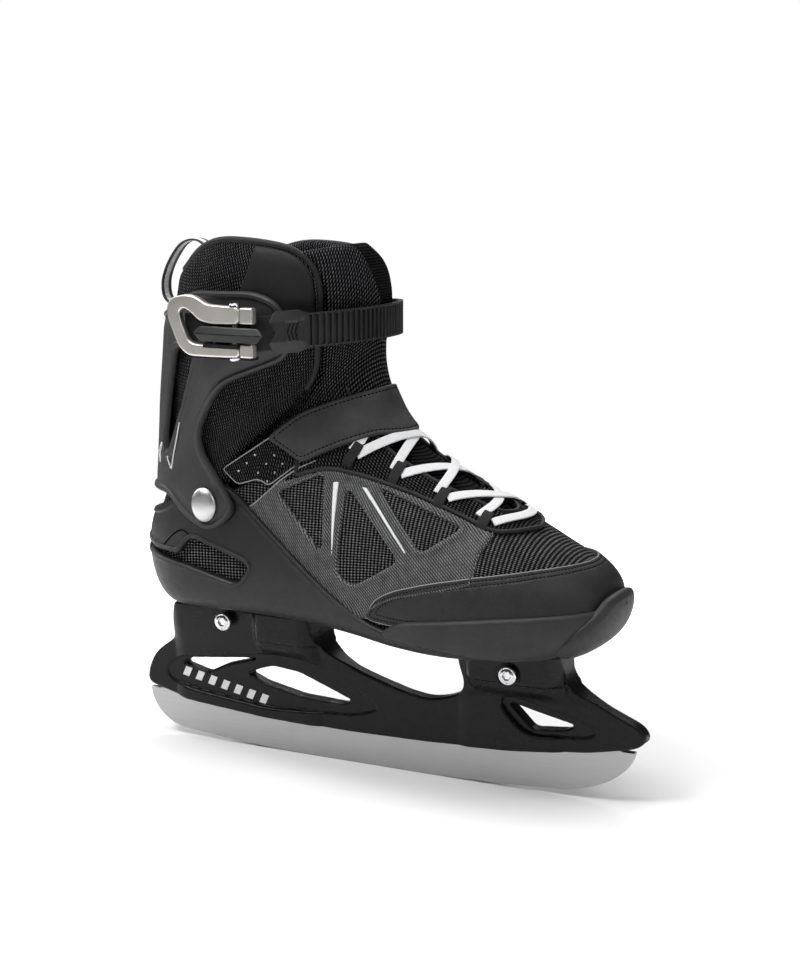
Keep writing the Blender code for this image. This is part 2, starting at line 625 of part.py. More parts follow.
def make_cuff():
    cuff = layer("cuff", "cuff_plastic", CUFF_SKIN, CUFF_OUTLINE, first=7)
    opening = helper("cuff_opening", prism_bm(CUFF_OPENING, -90, 90))
    combine(cuff, opening)
    front = [(60, -36), (60, 36), (-30, 36), (-30, -36)]
    combine(cuff, helper("cuff_front_trim", prism_bm(front, 120, 330, "XY")))
    combine(cuff, helper("cuff_pivot_hole", pivot_hole_bm(5.9)))
    for name, side, x in (("buckle", -1, BUCKLE_RIVET_X), ("anchor", 1, ANCHOR_SCREW_X)):
        low, high = sorted((side * 40.0, side * 75.0))
        hole = turned_bm([(0, low), (2.3, low), (2.3, high), (0, high)], "Y", (x, 0, LADDER_Z), 12)
        combine(cuff, helper(name + "_hole", hole))
    place_origin(cuff, PIVOT[0], 0, PIVOT[1])
    return cuff


BUCKLE_RIVET_X = -67.0
ANCHOR_SCREW_X = -58.0


def make_pivots():
    """Domed rivets and plastic bushes at the ankle hinge."""
    for name, axis, side in (("outer", "-Y", -1), ("inner", "Y", 1)):
        surface = pivot_surface(side)
        seat, inner = surface + CUFF_SKIN[1] + 0.9, surface + SHELL_SKIN[0] + 0.2
        dome = [(9.3 * math.cos(a), seat + 0.8 + 2.2 * math.sin(a)) for a in (0.0, 0.4, 0.8, 1.2)]
        profile = [(0, seat + 3.0), *dome[::-1], (9.3, seat), (4.0, seat), (4.0, inner), (0, inner)]
        add_object(f"cuff_rivet_{name}", turned_bm(profile, axis, (PIVOT[0], 0, PIVOT[1]), 22), "bright_steel",
                   smooth=True)
        bush = [(4.3, seat - GAP), (5.6, seat - GAP), (5.6, surface + SHELL_SKIN[1] + 0.8),
                (4.3, surface + SHELL_SKIN[1] + 0.8)]
        add_object(f"cuff_bush_{name}", turned_bm(bush, axis, (PIVOT[0], 0, PIVOT[1]), 16), "strap_plastic")


def pivot_surface(side):
    """How far the last stands from the middle plane at the ankle hinge."""
    near = np.abs(LAST[..., 0] - PIVOT[0]) + np.abs(LAST[..., 2] - PIVOT[1]) + (LAST[..., 1] * side < 0) * 1e3
    weights = 1 / (np.sort(near.ravel())[:4] + 1.0)
    picked = LAST.reshape(-1, 3)[np.argsort(near.ravel())[:4], 1]
    return abs(float((picked * weights).sum() / weights.sum()))


# Ratchet buckle and ladder strap.

LADDER_CENTRE_X = -57.5
LADDER_AXES = (67.0, 58.5)
LADDER_FULLNESS = 2.3
STRAP_AXIS = (-40.0, 58.6)


def ladder_plan(angle, extra):
    """The ladder strap's plan curve: angle 0 is the shin, -90 degrees the buckle side."""
    a, b = LADDER_AXES[0] + extra, LADDER_AXES[1] + extra
    c, s = math.cos(angle), math.sin(angle)
    power = 2 / LADDER_FULLNESS
    x = LADDER_CENTRE_X + a * math.copysign(abs(c) ** power, c)
    return x, b * math.copysign(abs(s) ** power, s)


def ladder_section(angle, inner, outer, half):
    x0, y0 = ladder_plan(angle, inner)
    x1, y1 = ladder_plan(angle, outer)
    z = LADDER_Z + (x0 - BUCKLE_PIN_X) * LADDER_SLOPE
    return [(x0, y0, z - half), (x1, y1, z - half), (x1, y1, z + half), (x0, y0, z + half)]


def make_ladder_strap():
    """The toothed strap: a smooth tail and a wide grip at the buckle, teeth round the shin."""
    half = LADDER_WIDTH / 2
    sections = []
    tail = [(-84, 2.2, half - 1.0), (-75, 2.2, half)]
    grip = [(-73, 3.4, half + 0.5), (-70.5, 4.0, half + 1.3), (-66, 4.0, half + 1.3), (-57, 3.2, half)]
    for degrees, outer, tall in tail + grip:
        sections.append(ladder_section(math.radians(degrees), 0.0, outer, tall))
    teeth, first, final = 26, -55.0, 44.0
    for k in range(teeth):
        start = first + (final - first) * k / teeth
        for share, outer in ((0.0, 1.6), (0.45, 2.6)):
            angle = math.radians(start + share * (final - first) / teeth)
            sections.append(ladder_section(angle, 0.0, outer, half))
    for degrees in (46, 58, 68, 74.5):
        sections.append(ladder_section(math.radians(degrees), 0.0, 2.2, half))
    strap = add_object("ladder_strap", sweep_bm(sections), "strap_plastic")
    place_origin(strap, STRAP_AXIS[0], STRAP_AXIS[1], LADDER_Z)
    return strap


def make_strap_anchor():
    """The tab that holds the ladder strap on the inner side of the cuff, with its screw."""
    sections = [ladder_section(math.radians(a), -1.4, 2.2, LADDER_WIDTH / 2) for a in (76, 82, 88, 94, 100)]
    tab = add_object("strap_anchor", sweep_bm(sections), "strap_plastic")
    hole = turned_bm([(0, 40), (2.3, 40), (2.3, 75), (0, 75)], "Y", (ANCHOR_SCREW_X, 0, LADDER_Z), 12)
    combine(tab, helper("anchor_tab_hole", hole))
    seat = LADDER_AXES[1] + 2.2 + GAP
    profile = [(0, seat + 1.6), (3.2, seat + 1.6), (4.4, seat + 0.7), (4.4, seat), (2.0, seat), (2.0, 52.0), (0, 52.0)]
    add_object("strap_anchor_screw", turned_bm(profile, "Y", (ANCHOR_SCREW_X, 0, LADDER_Z), 14), "bright_steel",
               smooth=True)


def make_buckle_base():
    """A tunnel for the ladder strap with two lugs that carry the pins, and room for the lever's arms to swing."""
    low, high = LADDER_Z - 11.6, LADDER_Z + 11.8
    base = add_object("buckle_base", box_bm((-76, -63.0, low), (-35.6, -55.8, high)), "strap_plastic")
    combine(base, helper("buckle_tunnel", box_bm((-74, -61.8, LADDER_Z - 9.7), (-30, -57.2, LADDER_Z + 10.1))))
    combine(base, helper("tunnel_mouth", box_bm((-45, -60.0, LADDER_Z - 9.7), (-30, -50.0, LADDER_Z + 10.1))))
    for name, z in (("lower", LADDER_Z - 5.3), ("upper", LADDER_Z + 3.3)):
        lug = box_bm((-62, -68.3, z), (-40, -62.5, z + 2.0))
        combine(base, helper(f"buckle_lug_{name}", lug), "UNION")
        zs = (LADDER_Z - 18, LADDER_Z - 5.8) if name == "lower" else (LADDER_Z + 5.8, LADDER_Z + 18)
        swing = turned_bm([(0, zs[0]), (4.6, zs[0]), (4.6, zs[1]), (0, zs[1])], "Z", (BUCKLE_PIN_X, PIN_Y, 0), 24)
        combine(base, helper(f"arm_swing_{name}", swing))
    combine(base, helper("pawl_slot", box_bm((-50.5, -66.0, LADDER_Z - 3.0), (-30, -60.0, LADDER_Z + 3.0))))
    combine(base, helper("main_pin_hole", pin_bm(BUCKLE_PIN_X, PIN_Y, 1.75, 20)))
    combine(base, helper("stop_pin_hole", pin_bm(PAWL_PIN_X, STOP_PIN_Y, 1.55, 20)))
    rivet_hole = turned_bm([(0, 50), (2.3, 50), (2.3, 59), (0, 59)], "-Y", (BUCKLE_RIVET_X, 0, LADDER_Z), 12)
    combine(base, helper("base_rivet_hole", rivet_hole))
    profile = [(0, 58.9), (3.4, 58.9), (4.2, 58.2), (4.2, 57.2 + GAP), (2.0, 57.2 + GAP), (2.0, 52.0), (0, 52.0)]
    add_object("buckle_rivet", turned_bm(profile, "-Y", (BUCKLE_RIVET_X, 0, LADDER_Z), 14), "bright_steel",
               smooth=True)
    for name, z0, z1 in (("upper", 6.4, 13.8), ("lower", -15.0, -8.0)):
        cheek = box_bm((-39.6, LEVER_Y[0], LADDER_Z + z0), (-34.6, LEVER_Y[1], LADDER_Z + z1))
        add_object("buckle_cheek_" + name, cheek, "lever_alloy")
    return base


def pin_bm(x, y, radius, half):
    return turned_bm([(0, -half), (radius, -half), (radius, half), (0, half)], "Z", (x, y, LADDER_Z), 12)


LEVER_Y = (-68.0, -63.35)
LEVER_OUTLINE = [
    (-40.8, 14.3), (-56, 13.8), (-61, 14.6), (-68, 19.2), (-76, 21.2), (-83, 19.5), (-87.5, 14.5),
    (-86.5, 6.0), (-81.5, -8.0), (-77.5, -13.2), (-71, -15.2), (-60, -14.4), (-47, -15.6), (-40.8, -15.5),
    (-40.8, -7.8), (-50, -7.4), (-64.5, -6.8), (-71, -9.0), (-74, -7.6), (-79.5, 8.4), (-79.5, 12.6), (-76, 14.4),
    (-72, 12.4), (-64, 6.2), (-50, 6.0), (-40.8, 6.1),
]


def make_lever():
    """The buckle lever: a slanted loop for the fingers and two arms on the main pin."""
    outline = [(x, LADDER_Z + z) for x, z in LEVER_OUTLINE]
    lever = add_object("buckle_lever", prism_bm(outline, *LEVER_Y), "lever_alloy")
    combine(lever, helper("lever_pin_hole", pin_bm(BUCKLE_PIN_X, PIN_Y, 1.75, 25)))
    place_origin(lever, BUCKLE_PIN_X, PIN_Y, LADDER_Z)
    return lever


def make_pins():
    """The main pin has a head at each end outside the lever's arms; the stop pin stays inside them."""
    r, reach_up, reach_down, head_r, head_h = 1.5, 14.9, 15.9, 2.9, 2.0
    profile = [(0, reach_up + head_h), (head_r - 0.7, reach_up + head_h), (head_r, reach_up + head_h - 0.7),
               (head_r, reach_up), (r, reach_up), (r, -reach_down), (head_r, -reach_down),
               (head_r, -reach_down - head_h + 0.6), (head_r - 0.7, -reach_down - head_h), (0, -reach_down - head_h)]
    add_object("buckle_pin", turned_bm(profile[::-1], "Z", (BUCKLE_PIN_X, PIN_Y, LADDER_Z), 14), "bright_steel",
               smooth=True)
    add_object("pawl_stop_pin", pin_bm(PAWL_PIN_X, STOP_PIN_Y, 1.3, 5.7), "bright_steel", smooth=True)


def make_pawl():
    """The sprung pawl between the arms: a ridged bar over the pin with a tooth that reaches the ladder."""
    z0, z1 = LADDER_Z - 2.7, LADDER_Z + 2.7
    side = [(-32.5, -66.5), (-36, -70.0), (-66, -70.0), (-70.5, -67.6), (-70.5, -67.0), (-53, -67.4), (-47.5, -67.4),
            (-46.5, -63.6), (-45.4, -62.6), (-42.6, -62.6), (-41.4, -63.4), (-39.0, -62.4), (-37.5, -66.0)]
    pawl = add_object("release_pawl", prism_bm(side, z0, z1, "XY"), "strap_plastic")
    combine(pawl, helper("pawl_pin_hole", pin_bm(BUCKLE_PIN_X, PIN_Y, 1.75, 25)))
    place_origin(pawl, BUCKLE_PIN_X, PIN_Y, LADDER_Z)
    return pawl


# Pull loop.

def make_pull_loop():
    """A webbing loop at the back of the collar, for pulling the boot on."""
    path = [(-102.4, 279), (-102.6, 288), (-105.4, 293), (-113, 295), (-121, 290), (-127, 281), (-128.5, 270),
            (-126.5, 260), (-122, 254.5), (-120.3, 250.5)]
    wide, wall = 5.0, 1.1
    sections = []
    for i, (x, z) in enumerate(path):
        before, after = path[max(i - 1, 0)], path[min(i + 1, len(path) - 1)]
        along = Vector((after[0] - before[0], 0, after[1] - before[1])).normalized()
        out = Vector((-along.z, 0, along.x)) * wall / 2
        p = Vector((x, 0, z))
        side = Vector((0, wide, 0))
        sections.append([p + out - side, p + out + side, p - out + side, p - out - side])
    return add_object("pull_loop", sweep_bm(sections), "webbing")


def main():
    clear_scene()
    make_runner()
    make_holder()
    make_bolts()
    make_shell()
    make_upper()
    make_tongue()
    make_collar()
    make_gusset()
    make_insole()
    make_overlays()
    make_instep_strap()
    make_lace()
    make_lace_loops()
    make_cuff()
    make_pivots()
    make_ladder_strap()
    make_strap_anchor()
    make_buckle_base()
    make_lever()
    make_pins()
    make_pawl()
    make_pull_loop()


main()
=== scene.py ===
"""The looks of a recreational ice skate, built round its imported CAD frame. Lengths are in millimetres while
pieces are made, and turned into metres when each piece becomes an object. +X toe, +Y inner side, +Z up."""
import math

import bmesh
import bpy
import numpy as np
from mathutils import Matrix, Vector


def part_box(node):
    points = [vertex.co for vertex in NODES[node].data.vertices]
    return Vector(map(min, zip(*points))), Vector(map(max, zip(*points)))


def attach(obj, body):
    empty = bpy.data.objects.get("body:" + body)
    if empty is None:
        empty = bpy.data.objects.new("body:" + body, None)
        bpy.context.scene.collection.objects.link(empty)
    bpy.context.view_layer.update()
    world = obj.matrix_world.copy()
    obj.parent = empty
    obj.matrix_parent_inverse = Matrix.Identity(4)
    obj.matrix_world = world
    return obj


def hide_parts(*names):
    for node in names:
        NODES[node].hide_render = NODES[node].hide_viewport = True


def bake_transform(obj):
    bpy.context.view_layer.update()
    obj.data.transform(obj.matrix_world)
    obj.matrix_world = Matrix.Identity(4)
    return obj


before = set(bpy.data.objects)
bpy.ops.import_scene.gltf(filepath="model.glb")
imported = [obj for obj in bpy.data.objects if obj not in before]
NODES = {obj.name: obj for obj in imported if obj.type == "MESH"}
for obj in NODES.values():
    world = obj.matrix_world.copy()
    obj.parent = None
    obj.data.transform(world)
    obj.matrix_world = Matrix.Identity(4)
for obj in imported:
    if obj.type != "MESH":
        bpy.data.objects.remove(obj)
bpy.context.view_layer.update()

MM = 0.001
TAU = math.tau
TINY = 1e-9

# ---------------------------------------------------------------- the last: the boot's inner form

# Toe to collar: instep x and z, sole or heel x and z, half width, where it is widest, fullness of the upper
# and lower parts, sideways shift. The first row closes the toe.
STATIONS = np.array([
    (142.8, 108.55, 142.8, 108.45, 0.05, 0.50, 2.2, 2.4, 3.6),
    (141.6, 114.0, 141.6, 103.0, 12.0, 0.50, 2.2, 2.4, 3.6), (137.0, 122.5, 137.0, 94.0, 23.5, 0.55, 2.2, 2.6, 3.6),
    (126.5, 130.5, 127.5, 87.0, 33.5, 0.60, 2.2, 2.8, 3.6), (111.0, 138.5, 112.0, 82.5, 41.0, 0.64, 2.2, 3.2, 3.2),
    (92.0, 149.0, 92.0, 79.5, 46.0, 0.68, 2.1, 3.6, 2.5), (66.0, 162.0, 62.0, 78.5, 47.5, 0.69, 2.0, 3.8, 1.0),
    (44.0, 174.5, 34.0, 80.0, 46.0, 0.69, 1.9, 3.8, 0.0), (28.0, 186.0, 6.0, 83.5, 43.5, 0.67, 1.9, 3.8, 0.0),
    (17.0, 198.0, -24.0, 86.0, 41.0, 0.64, 1.9, 3.8, 0.0), (11.0, 209.0, -60.0, 87.0, 39.0, 0.62, 2.0, 4.0, 0.0),
    (8.0, 218.0, -96.0, 86.5, 37.5, 0.60, 2.0, 4.0, 0.0), (6.5, 225.5, -117.0, 88.0, 37.0, 0.58, 2.0, 3.4, 0.0),
    (6.0, 232.0, -129.5, 102.0, 37.0, 0.56, 2.0, 2.7, 0.0), (6.0, 238.0, -132.0, 123.0, 37.5, 0.54, 2.1, 2.4, 0.0),
    (6.5, 244.0, -123.0, 150.0, 39.0, 0.52, 2.2, 2.3, 0.0), (7.0, 250.0, -120.0, 175.0, 41.0, 0.50, 2.3, 2.3, 0.0),
    (7.0, 257.0, -117.5, 200.0, 43.5, 0.50, 2.3, 2.3, 0.0), (7.0, 264.0, -114.5, 224.0, 45.5, 0.50, 2.3, 2.3, 0.0),
    (6.0, 273.0, -111.5, 248.0, 47.0, 0.50, 2.3, 2.3, 0.0), (4.0, 282.0, -107.5, 270.0, 47.5, 0.50, 2.3, 2.3, 0.0),
    (1.0, 290.0, -103.0, 286.0, 47.0, 0.50, 2.3, 2.3, 0.0)])
TOE, TOP = -1.0, 20.0  # the station numbers of the toe's closing point and of the collar's rim


def catmull(rows, u):
    """Smooth rows of numbers at the fractional places u, carried on in a straight line past the last row."""
    n = len(rows)
    past = np.maximum(u - (n - 1), 0.0)[:, None]
    u = np.clip(u, 0, n - 1 - 1e-6)
    i = np.floor(u).astype(int)
    f = (u - i)[:, None]
    p0, p1 = rows[np.maximum(i - 1, 0)], rows[i]
    p2, p3 = rows[np.minimum(i + 1, n - 1)], rows[np.minimum(i + 2, n - 1)]
    out = 0.5 * (2 * p1 + (p2 - p0) * f + (2 * p0 - 5 * p1 + 4 * p2 - p3) * f**2
                 + (3 * p1 - p0 - 3 * p2 + p3) * f**3)
    return out + past * (rows[-1] - rows[-2])


def last_point(u, angle):
    """Points of the last at station numbers u and at angles from the instep."""
    ux, uz, lx, lz, half, widest, upper_n, lower_n, shift = catmull(STATIONS, u - TOE).T
    along = (1 - np.cos(angle)) / 2
    high = along < widest
    share = np.where(high, (widest - along) / widest, (along - widest) / (1 - widest))
    fullness = np.where(high, upper_n, lower_n)
    side = half * np.clip(1 - np.clip(share, 0, 1)**fullness, 0, 1) ** (1 / fullness)
    return np.stack([ux + (lx - ux) * along, shift - side * np.sign(np.sin(angle)), uz + (lz - uz) * along], 1)


STATION_STEP, SHARE_STEPS, ARC_POINTS = 0.1, 120, 481
U_GRID = np.arange(TOE, TOP + 0.801, STATION_STEP)
HALF_GRID = np.linspace(0, 0.5, SHARE_STEPS + 1)


def unit(vectors):
    return vectors / np.maximum(np.linalg.norm(vectors, axis=1, keepdims=True), TINY)


def run_along(points):
    """The distance from the first point to each point of a line."""
    return np.concatenate([[0], np.cumsum(np.linalg.norm(np.diff(points, axis=0), axis=1))])


def arc_tables():
    """For each station: its girth, and the angle at each share of the way round from the instep to the sole."""
    angles = np.linspace(1e-6, math.pi - 1e-6, ARC_POINTS)
    girth, table = [], []
    for u in U_GRID:
        run = run_along(last_point(np.full(ARC_POINTS, u), angles))
        girth.append(2 * run[-1])
        table.append(np.interp(HALF_GRID * 2 * run[-1], run, angles))
    return np.array(girth), np.array(table)


GIRTH, ANGLES = arc_tables()


def lookup(table, u, t):
    """Bilinear reading of a table over stations and shares of the way round."""
    a = np.clip((u - TOE) / STATION_STEP, 0, len(U_GRID) - 1.001)
    b = np.clip(t / 0.5 * SHARE_STEPS, 0, SHARE_STEPS - 0.001)
    i, j = a.astype(int), b.astype(int)
    f, g = a - i, b - j
    return ((table[i, j] * (1 - g) + table[i, j + 1] * g) * (1 - f)
            + (table[i + 1, j] * (1 - g) + table[i + 1, j + 1] * g) * f)


def surface(u, t):
    """Points of the last: t is the share of the way round, 0 at the instep, 0..0.5 on the outer side."""
    t = t % 1.0
    angle = lookup(ANGLES, u, np.minimum(t, 1 - t))
    return last_point(u, np.where(t > 0.5, TAU - angle, angle))


def normals(u, t):
    """The last's outward normals."""
    du, dt = 0.03, 0.004
    u = np.maximum(u, TOE + 0.06)
    across = np.cross(surface(u + du, t) - surface(u - du, t), surface(u, t + dt) - surface(u, t - dt))
    return unit(across)


RUNS = np.stack([run_along(surface(U_GRID, np.full(len(U_GRID), h))) for h in HALF_GRID], 1)


def on_boot(station, share, lift):
    """Points over the boot at stations and signed shares of the way round, with their normals."""
    u, t = np.atleast_1d(station).astype(float), np.atleast_1d(share).astype(float) % 1.0
    n = normals(u, t)
    return surface(u, t) + n * np.atleast_1d(lift)[:, None], n


def cloth_place(u, t):
    """Where a point lies on the cloth, in millimetres along and across it."""
    t = t % 1.0
    half = np.minimum(t, 1 - t)
    across = half * np.interp(u, U_GRID, GIRTH) * np.where(t > 0.5, -1, 1)
    return np.stack([lookup(RUNS, u, half), across, np.zeros_like(u)], 1)


# ---------------------------------------------------------------- outlines and distances

CORNER_SHARE = 0.48  # the most of a side that its corner's curve may take


def rounded(points, radius=6.0, steps=6):
    """An outline with its corners turned into curves."""
    p = np.array(points, float)
    out = []
    for before, b, after in zip(np.roll(p, 1, 0), p, np.roll(p, -1, 0)):
        lengths = [np.linalg.norm(q - b) for q in (before, after)]
        start, end = (b + (q - b) * min(radius, CORNER_SHARE * length) / max(length, TINY)
                      for q, length in zip((before, after), lengths))
        for s in np.linspace(0, 1, steps):
            out.append((1 - s)**2 * start + 2 * s * (1 - s) * b + s * s * end)
    return np.array(out)


def outline_distance(x, z, outline):
    """Signed distance to a closed outline, positive inside, with the direction towards the inside."""
    x, z = np.broadcast_arrays(x, z)
    shape = x.shape
    px, pz = x.ravel(), z.ravel()
    a, b = outline, np.roll(outline, -1, 0)
    best = np.full(px.shape, 1e18)
    gx, gz = np.zeros_like(px), np.zeros_like(px)
    inside = np.zeros(px.shape, bool)
    for (ax, az), (bx, bz) in zip(a, b):
        ex, ez = bx - ax, bz - az
        s = np.clip(((px - ax) * ex + (pz - az) * ez) / max(ex * ex + ez * ez, 1e-12), 0, 1)
        dx, dz = px - (ax + s * ex), pz - (az + s * ez)
        d = dx * dx + dz * dz
        near = d < best
        best = np.where(near, d, best)
        gx, gz = np.where(near, dx, gx), np.where(near, dz, gz)
        if bz != az:
            inside ^= ((az > pz) != (bz > pz)) & (px < (bx - ax) * (pz - az) / (bz - az) + ax)
    best = np.sqrt(best)
    sign = np.where(inside, 1.0, -1.0)
    scale = sign / np.maximum(best, TINY)
    return (sign * best).reshape(shape), (gx * scale).reshape(shape), (gz * scale).reshape(shape)


def along_surface(distance, lean):
    """A distance in a flat view, stretched to what it is along a surface that leans away from the view."""
    return distance / np.sqrt(np.clip(1 - lean**2, 0.08, 1))


def on_view(points, radius=6.0, axes=(0, 2)):
    """A field over the boot: how far inside an outline a surface point lies, measured along the surface. The
    outline is seen along one axis: from the side, from above (0, 1) or from the front (1, 2)."""
    outline = rounded(points, radius) if radius else np.array(points, float)
    i, j = axes

    def field(p, n):
        d, gi, gj = outline_distance(p[:, i], p[:, j], outline)
        return along_surface(d, gi * n[:, i] + gj * n[:, j])
    return field


def any_of(*fields):
    return lambda p, n: np.max([f(p, n) for f in fields], axis=0)


def inside_all(*fields):
    return lambda p, n: np.min([f(p, n) for f in fields], axis=0)


def outside(field):
    return lambda p, n: -field(p, n)


def half_space(side, at=0.0):
    """The outer side (-1) or the inner side (1) of the boot, past a distance from its middle plane."""
    return lambda p, n: along_surface(side * p[:, 1] - at, n[:, 1])


# ---------------------------------------------------------------- pieces of the boot's skin

SNAP = 0.06  # a point this near a level counts as on it


def split(tris, coords, values, level):
    """Splits triangles along the line where a value reaches a level."""
    side = np.sign(values - level)
    side[np.abs(values - level) < SNAP] = 0
    values = np.where(side == 0, level, values)
    s = side[tris]
    crossing = s * s[:, [1, 2, 0]] < 0
    count = crossing.sum(1)
    keep = tris[count == 0]
    one, two = tris[count == 1], tris[count == 2]
    c1, c2 = crossing[count == 1], crossing[count == 2]
    # One crossing edge: turn the triangle until that edge is its second one. Two: until the lone corner is first.
    turn1 = (np.argmax(c1, 1) - 1) % 3
    turn2 = (np.argmin(c2, 1) + 2) % 3
    one = np.take_along_axis(one, (turn1[:, None] + np.arange(3)) % 3, 1)
    two = np.take_along_axis(two, (turn2[:, None] + np.arange(3)) % 3, 1)
    ends = np.sort(np.concatenate([one[:, 1:3], two[:, 0:2], two[:, [2, 0]]]), 1)
    if not len(ends):
        return tris, coords, values
    edges, index = np.unique(ends, axis=0, return_inverse=True)
    index = index.ravel() + len(coords)
    va, vb = values[edges[:, 0]], values[edges[:, 1]]
    w = ((level - va) / (vb - va))[:, None]
    coords = np.concatenate([coords, coords[edges[:, 0]] * (1 - w) + coords[edges[:, 1]] * w])
    values = np.concatenate([values, np.full(len(edges), float(level))])
    m = index[:len(one)]
    m01, m20 = index[len(one):len(one) + len(two)], index[len(one) + len(two):]
    parts = [keep, np.stack([one[:, 0], one[:, 1], m], 1), np.stack([one[:, 0], m, one[:, 2]], 1),
             np.stack([two[:, 0], m01, m20], 1), np.stack([m01, two[:, 1], two[:, 2]], 1),
             np.stack([m01, two[:, 2], m20], 1)]
    return np.concatenate(parts), coords, values


def edges_of(tris):
    return np.concatenate([tris[:, [0, 1]], tris[:, [1, 2]], tris[:, [2, 0]]])


def boundary_edges(tris):
    edges = edges_of(tris)
    _, first, count = np.unique(np.sort(edges, 1), axis=0, return_index=True, return_counts=True)
    return edges[first[count == 1]]


def band(n, low, high):
    """The faces between two rings of n points, given by the number of each ring's first point."""
    return [(low + k, low + (k + 1) % n, high + (k + 1) % n, high + k) for k in range(n)]


def linked(name, data):
    """A new object in the scene."""
    obj = bpy.data.objects.new(name, data)
    bpy.context.scene.collection.objects.link(obj)
    return obj


def make_object(name, points, faces, finish, attribute=None, sharp=40.0):
    """A smooth-shaded object from points in millimetres."""
    mesh = bpy.data.meshes.new(name)
    mesh.from_pydata((np.asarray(points, float) * MM).tolist(), [], [list(map(int, f)) for f in faces])
    mesh.validate()
    mesh.shade_smooth()
    mesh.set_sharp_from_angle(angle=math.radians(sharp))
    if attribute is not None:
        layer = mesh.attributes.new("cloth", "FLOAT_VECTOR", "POINT")
        layer.data.foreach_set("vector", np.asarray(attribute, np.float32).ravel())
    mesh.materials.append(finish)
    return linked(name, mesh)


def face_outwards(obj, *steps):
    """Runs bmesh steps on a piece, then turns its faces outwards."""
    bm = bmesh.new()
    bm.from_mesh(obj.data)
    for step in steps:
        step(bm)
    bmesh.ops.recalc_face_normals(bm, faces=bm.faces)
    bm.to_mesh(obj.data)
    bm.free()
    return obj


class Skin:
    """A piece of the boot's skin: the part of the last's surface inside a field.

    The profile is pairs of how far in from the piece's edge, and how high over the last. u and t are the stations
    and shares of the way round that it lies within, step is its mesh size, at is the height where its outline is
    measured, levels are extra distances from its edge to cut the mesh along, and swell adds to the height."""

    def __init__(self, field, profile, u=(TOE, TOP), t=(0.0, 1.0), step=2.2, at=1.0, levels=(), swell=None):
        self.profile = np.array(profile, float)
        middle = surface(np.linspace(*u, 40), np.full(40, 0.25))
        length = np.linalg.norm(np.diff(middle, axis=0), axis=1).sum()
        girth = np.interp(np.linspace(*u, 20), U_GRID, GIRTH).max() * (t[1] - t[0])
        nu, nt = max(2, math.ceil(length * 1.15 / step)), max(3, math.ceil(girth / step))
        uu, tt = np.meshgrid(np.linspace(u[0], u[1], nu + 1), np.linspace(t[0], t[1], nt + 1), indexing="ij")
        coords = np.stack([uu.ravel(), tt.ravel()], 1)
        i, j = np.meshgrid(np.arange(nu), np.arange(nt), indexing="ij")
        a = (i * (nt + 1) + j).ravel()
        b, c, d = a + nt + 1, a + nt + 2, a + 1
        flip = ((i + j) % 2 == 0).ravel()[:, None]
        tris = np.concatenate([np.where(flip, np.stack([a, b, c], 1), np.stack([a, b, d], 1)),
                               np.where(flip, np.stack([a, c, d], 1), np.stack([b, c, d], 1))])
        n = normals(*coords.T)
        values = field(surface(*coords.T) + n * at, n)
        tris = tris[(values[tris] > -3 * step).any(1)]
        for level in sorted({0.0, *self.profile[:, 0].tolist(), *levels}):
            tris, coords, values = split(tris, coords, values, level)
            if level == 0.0:
                tris = tris[values[tris].mean(1) > 1e-6]
        if t[1] - t[0] > 0.999:
            key = np.round(np.stack([coords[:, 0], coords[:, 1] % 1.0], 1), 6)
            key[key[:, 1] > 0.999999, 1] = 0
            _, first, index = np.unique(key, axis=0, return_index=True, return_inverse=True)
            coords, values, tris = coords[first], values[first], index.ravel()[tris]
        used, index = np.unique(tris, return_inverse=True)
        self.tris = index.reshape(tris.shape)
        a, b, c = self.tris.T
        self.tris = self.tris[(a != b) & (b != c) & (c != a)]
        self.coords, self.values = coords[used], values[used]
        self.base, self.normal = surface(*self.coords.T), normals(*self.coords.T)
        self.lift = np.interp(self.values, self.profile[:, 0], self.profile[:, 1])
        if swell:
            self.lift = self.lift + swell(self.base, self.values)

    def points(self, extra=0.0):
        return self.base + self.normal * (self.lift + extra)[:, None]

    def solid(self, name, finish, inner):
        """The closed piece between its profile and an inner height."""
        low = np.broadcast_to(inner(self) if callable(inner) else inner, self.lift.shape)
        count = len(self.base)
        top, bottom = self.points(), self.base + self.normal * np.minimum(low, self.lift - 0.15)[:, None]
        rim = boundary_edges(self.tris)
        walls = np.stack([rim[:, 1], rim[:, 0], rim[:, 0] + count, rim[:, 1] + count], 1)
        faces = [*self.tris.tolist(), *(self.tris[:, ::-1] + count).tolist(), *walls.tolist()]
        place = cloth_place(*self.coords.T)
        return make_object(name, np.concatenate([top, bottom]), faces, finish, np.concatenate([place, place]))

    def lines(self, level, extra=0.0):
        """The lines where the distance from the edge is a level, as (points, normals)."""
        at = np.abs(self.values - level) < 1e-6
        edges = edges_of(self.tris)
        edges = np.unique(np.sort(edges[at[edges].all(1)], 1), axis=0)
        links = {}
        for a, b in edges.tolist():
            links.setdefault(a, []).append(b)
            links.setdefault(b, []).append(a)
        points = self.points(extra)
        found, seen = [], set()
        for start in sorted(links, key=lambda v: (len(links[v]) != 1, v)):
            if start in seen:
                continue
            chain, at_now = [start], start
            seen.add(start)
            while True:
                ahead = [v for v in links[at_now] if v not in seen]
                if not ahead:
                    break
                at_now = ahead[0]
                seen.add(at_now)
                chain.append(at_now)
            if chain[0] in links[chain[-1]] and len(chain) > 3:
                chain.append(chain[0])
            if len(chain) > 3:
                found.append((points[chain], self.normal[chain]))
        return found


# ---------------------------------------------------------------- seams, tubes and ribbons

def resample(points, extra, pitch):
    """Points evenly spaced along a line, with a second array carried along."""
    run = run_along(points)
    count = max(2, int(round(run[-1] / pitch)) + 1)
    at = np.linspace(0, run[-1], count)
    pick = lambda rows: np.stack([np.interp(at, run, rows[:, k]) for k in range(3)], 1)
    return pick(points), pick(extra)


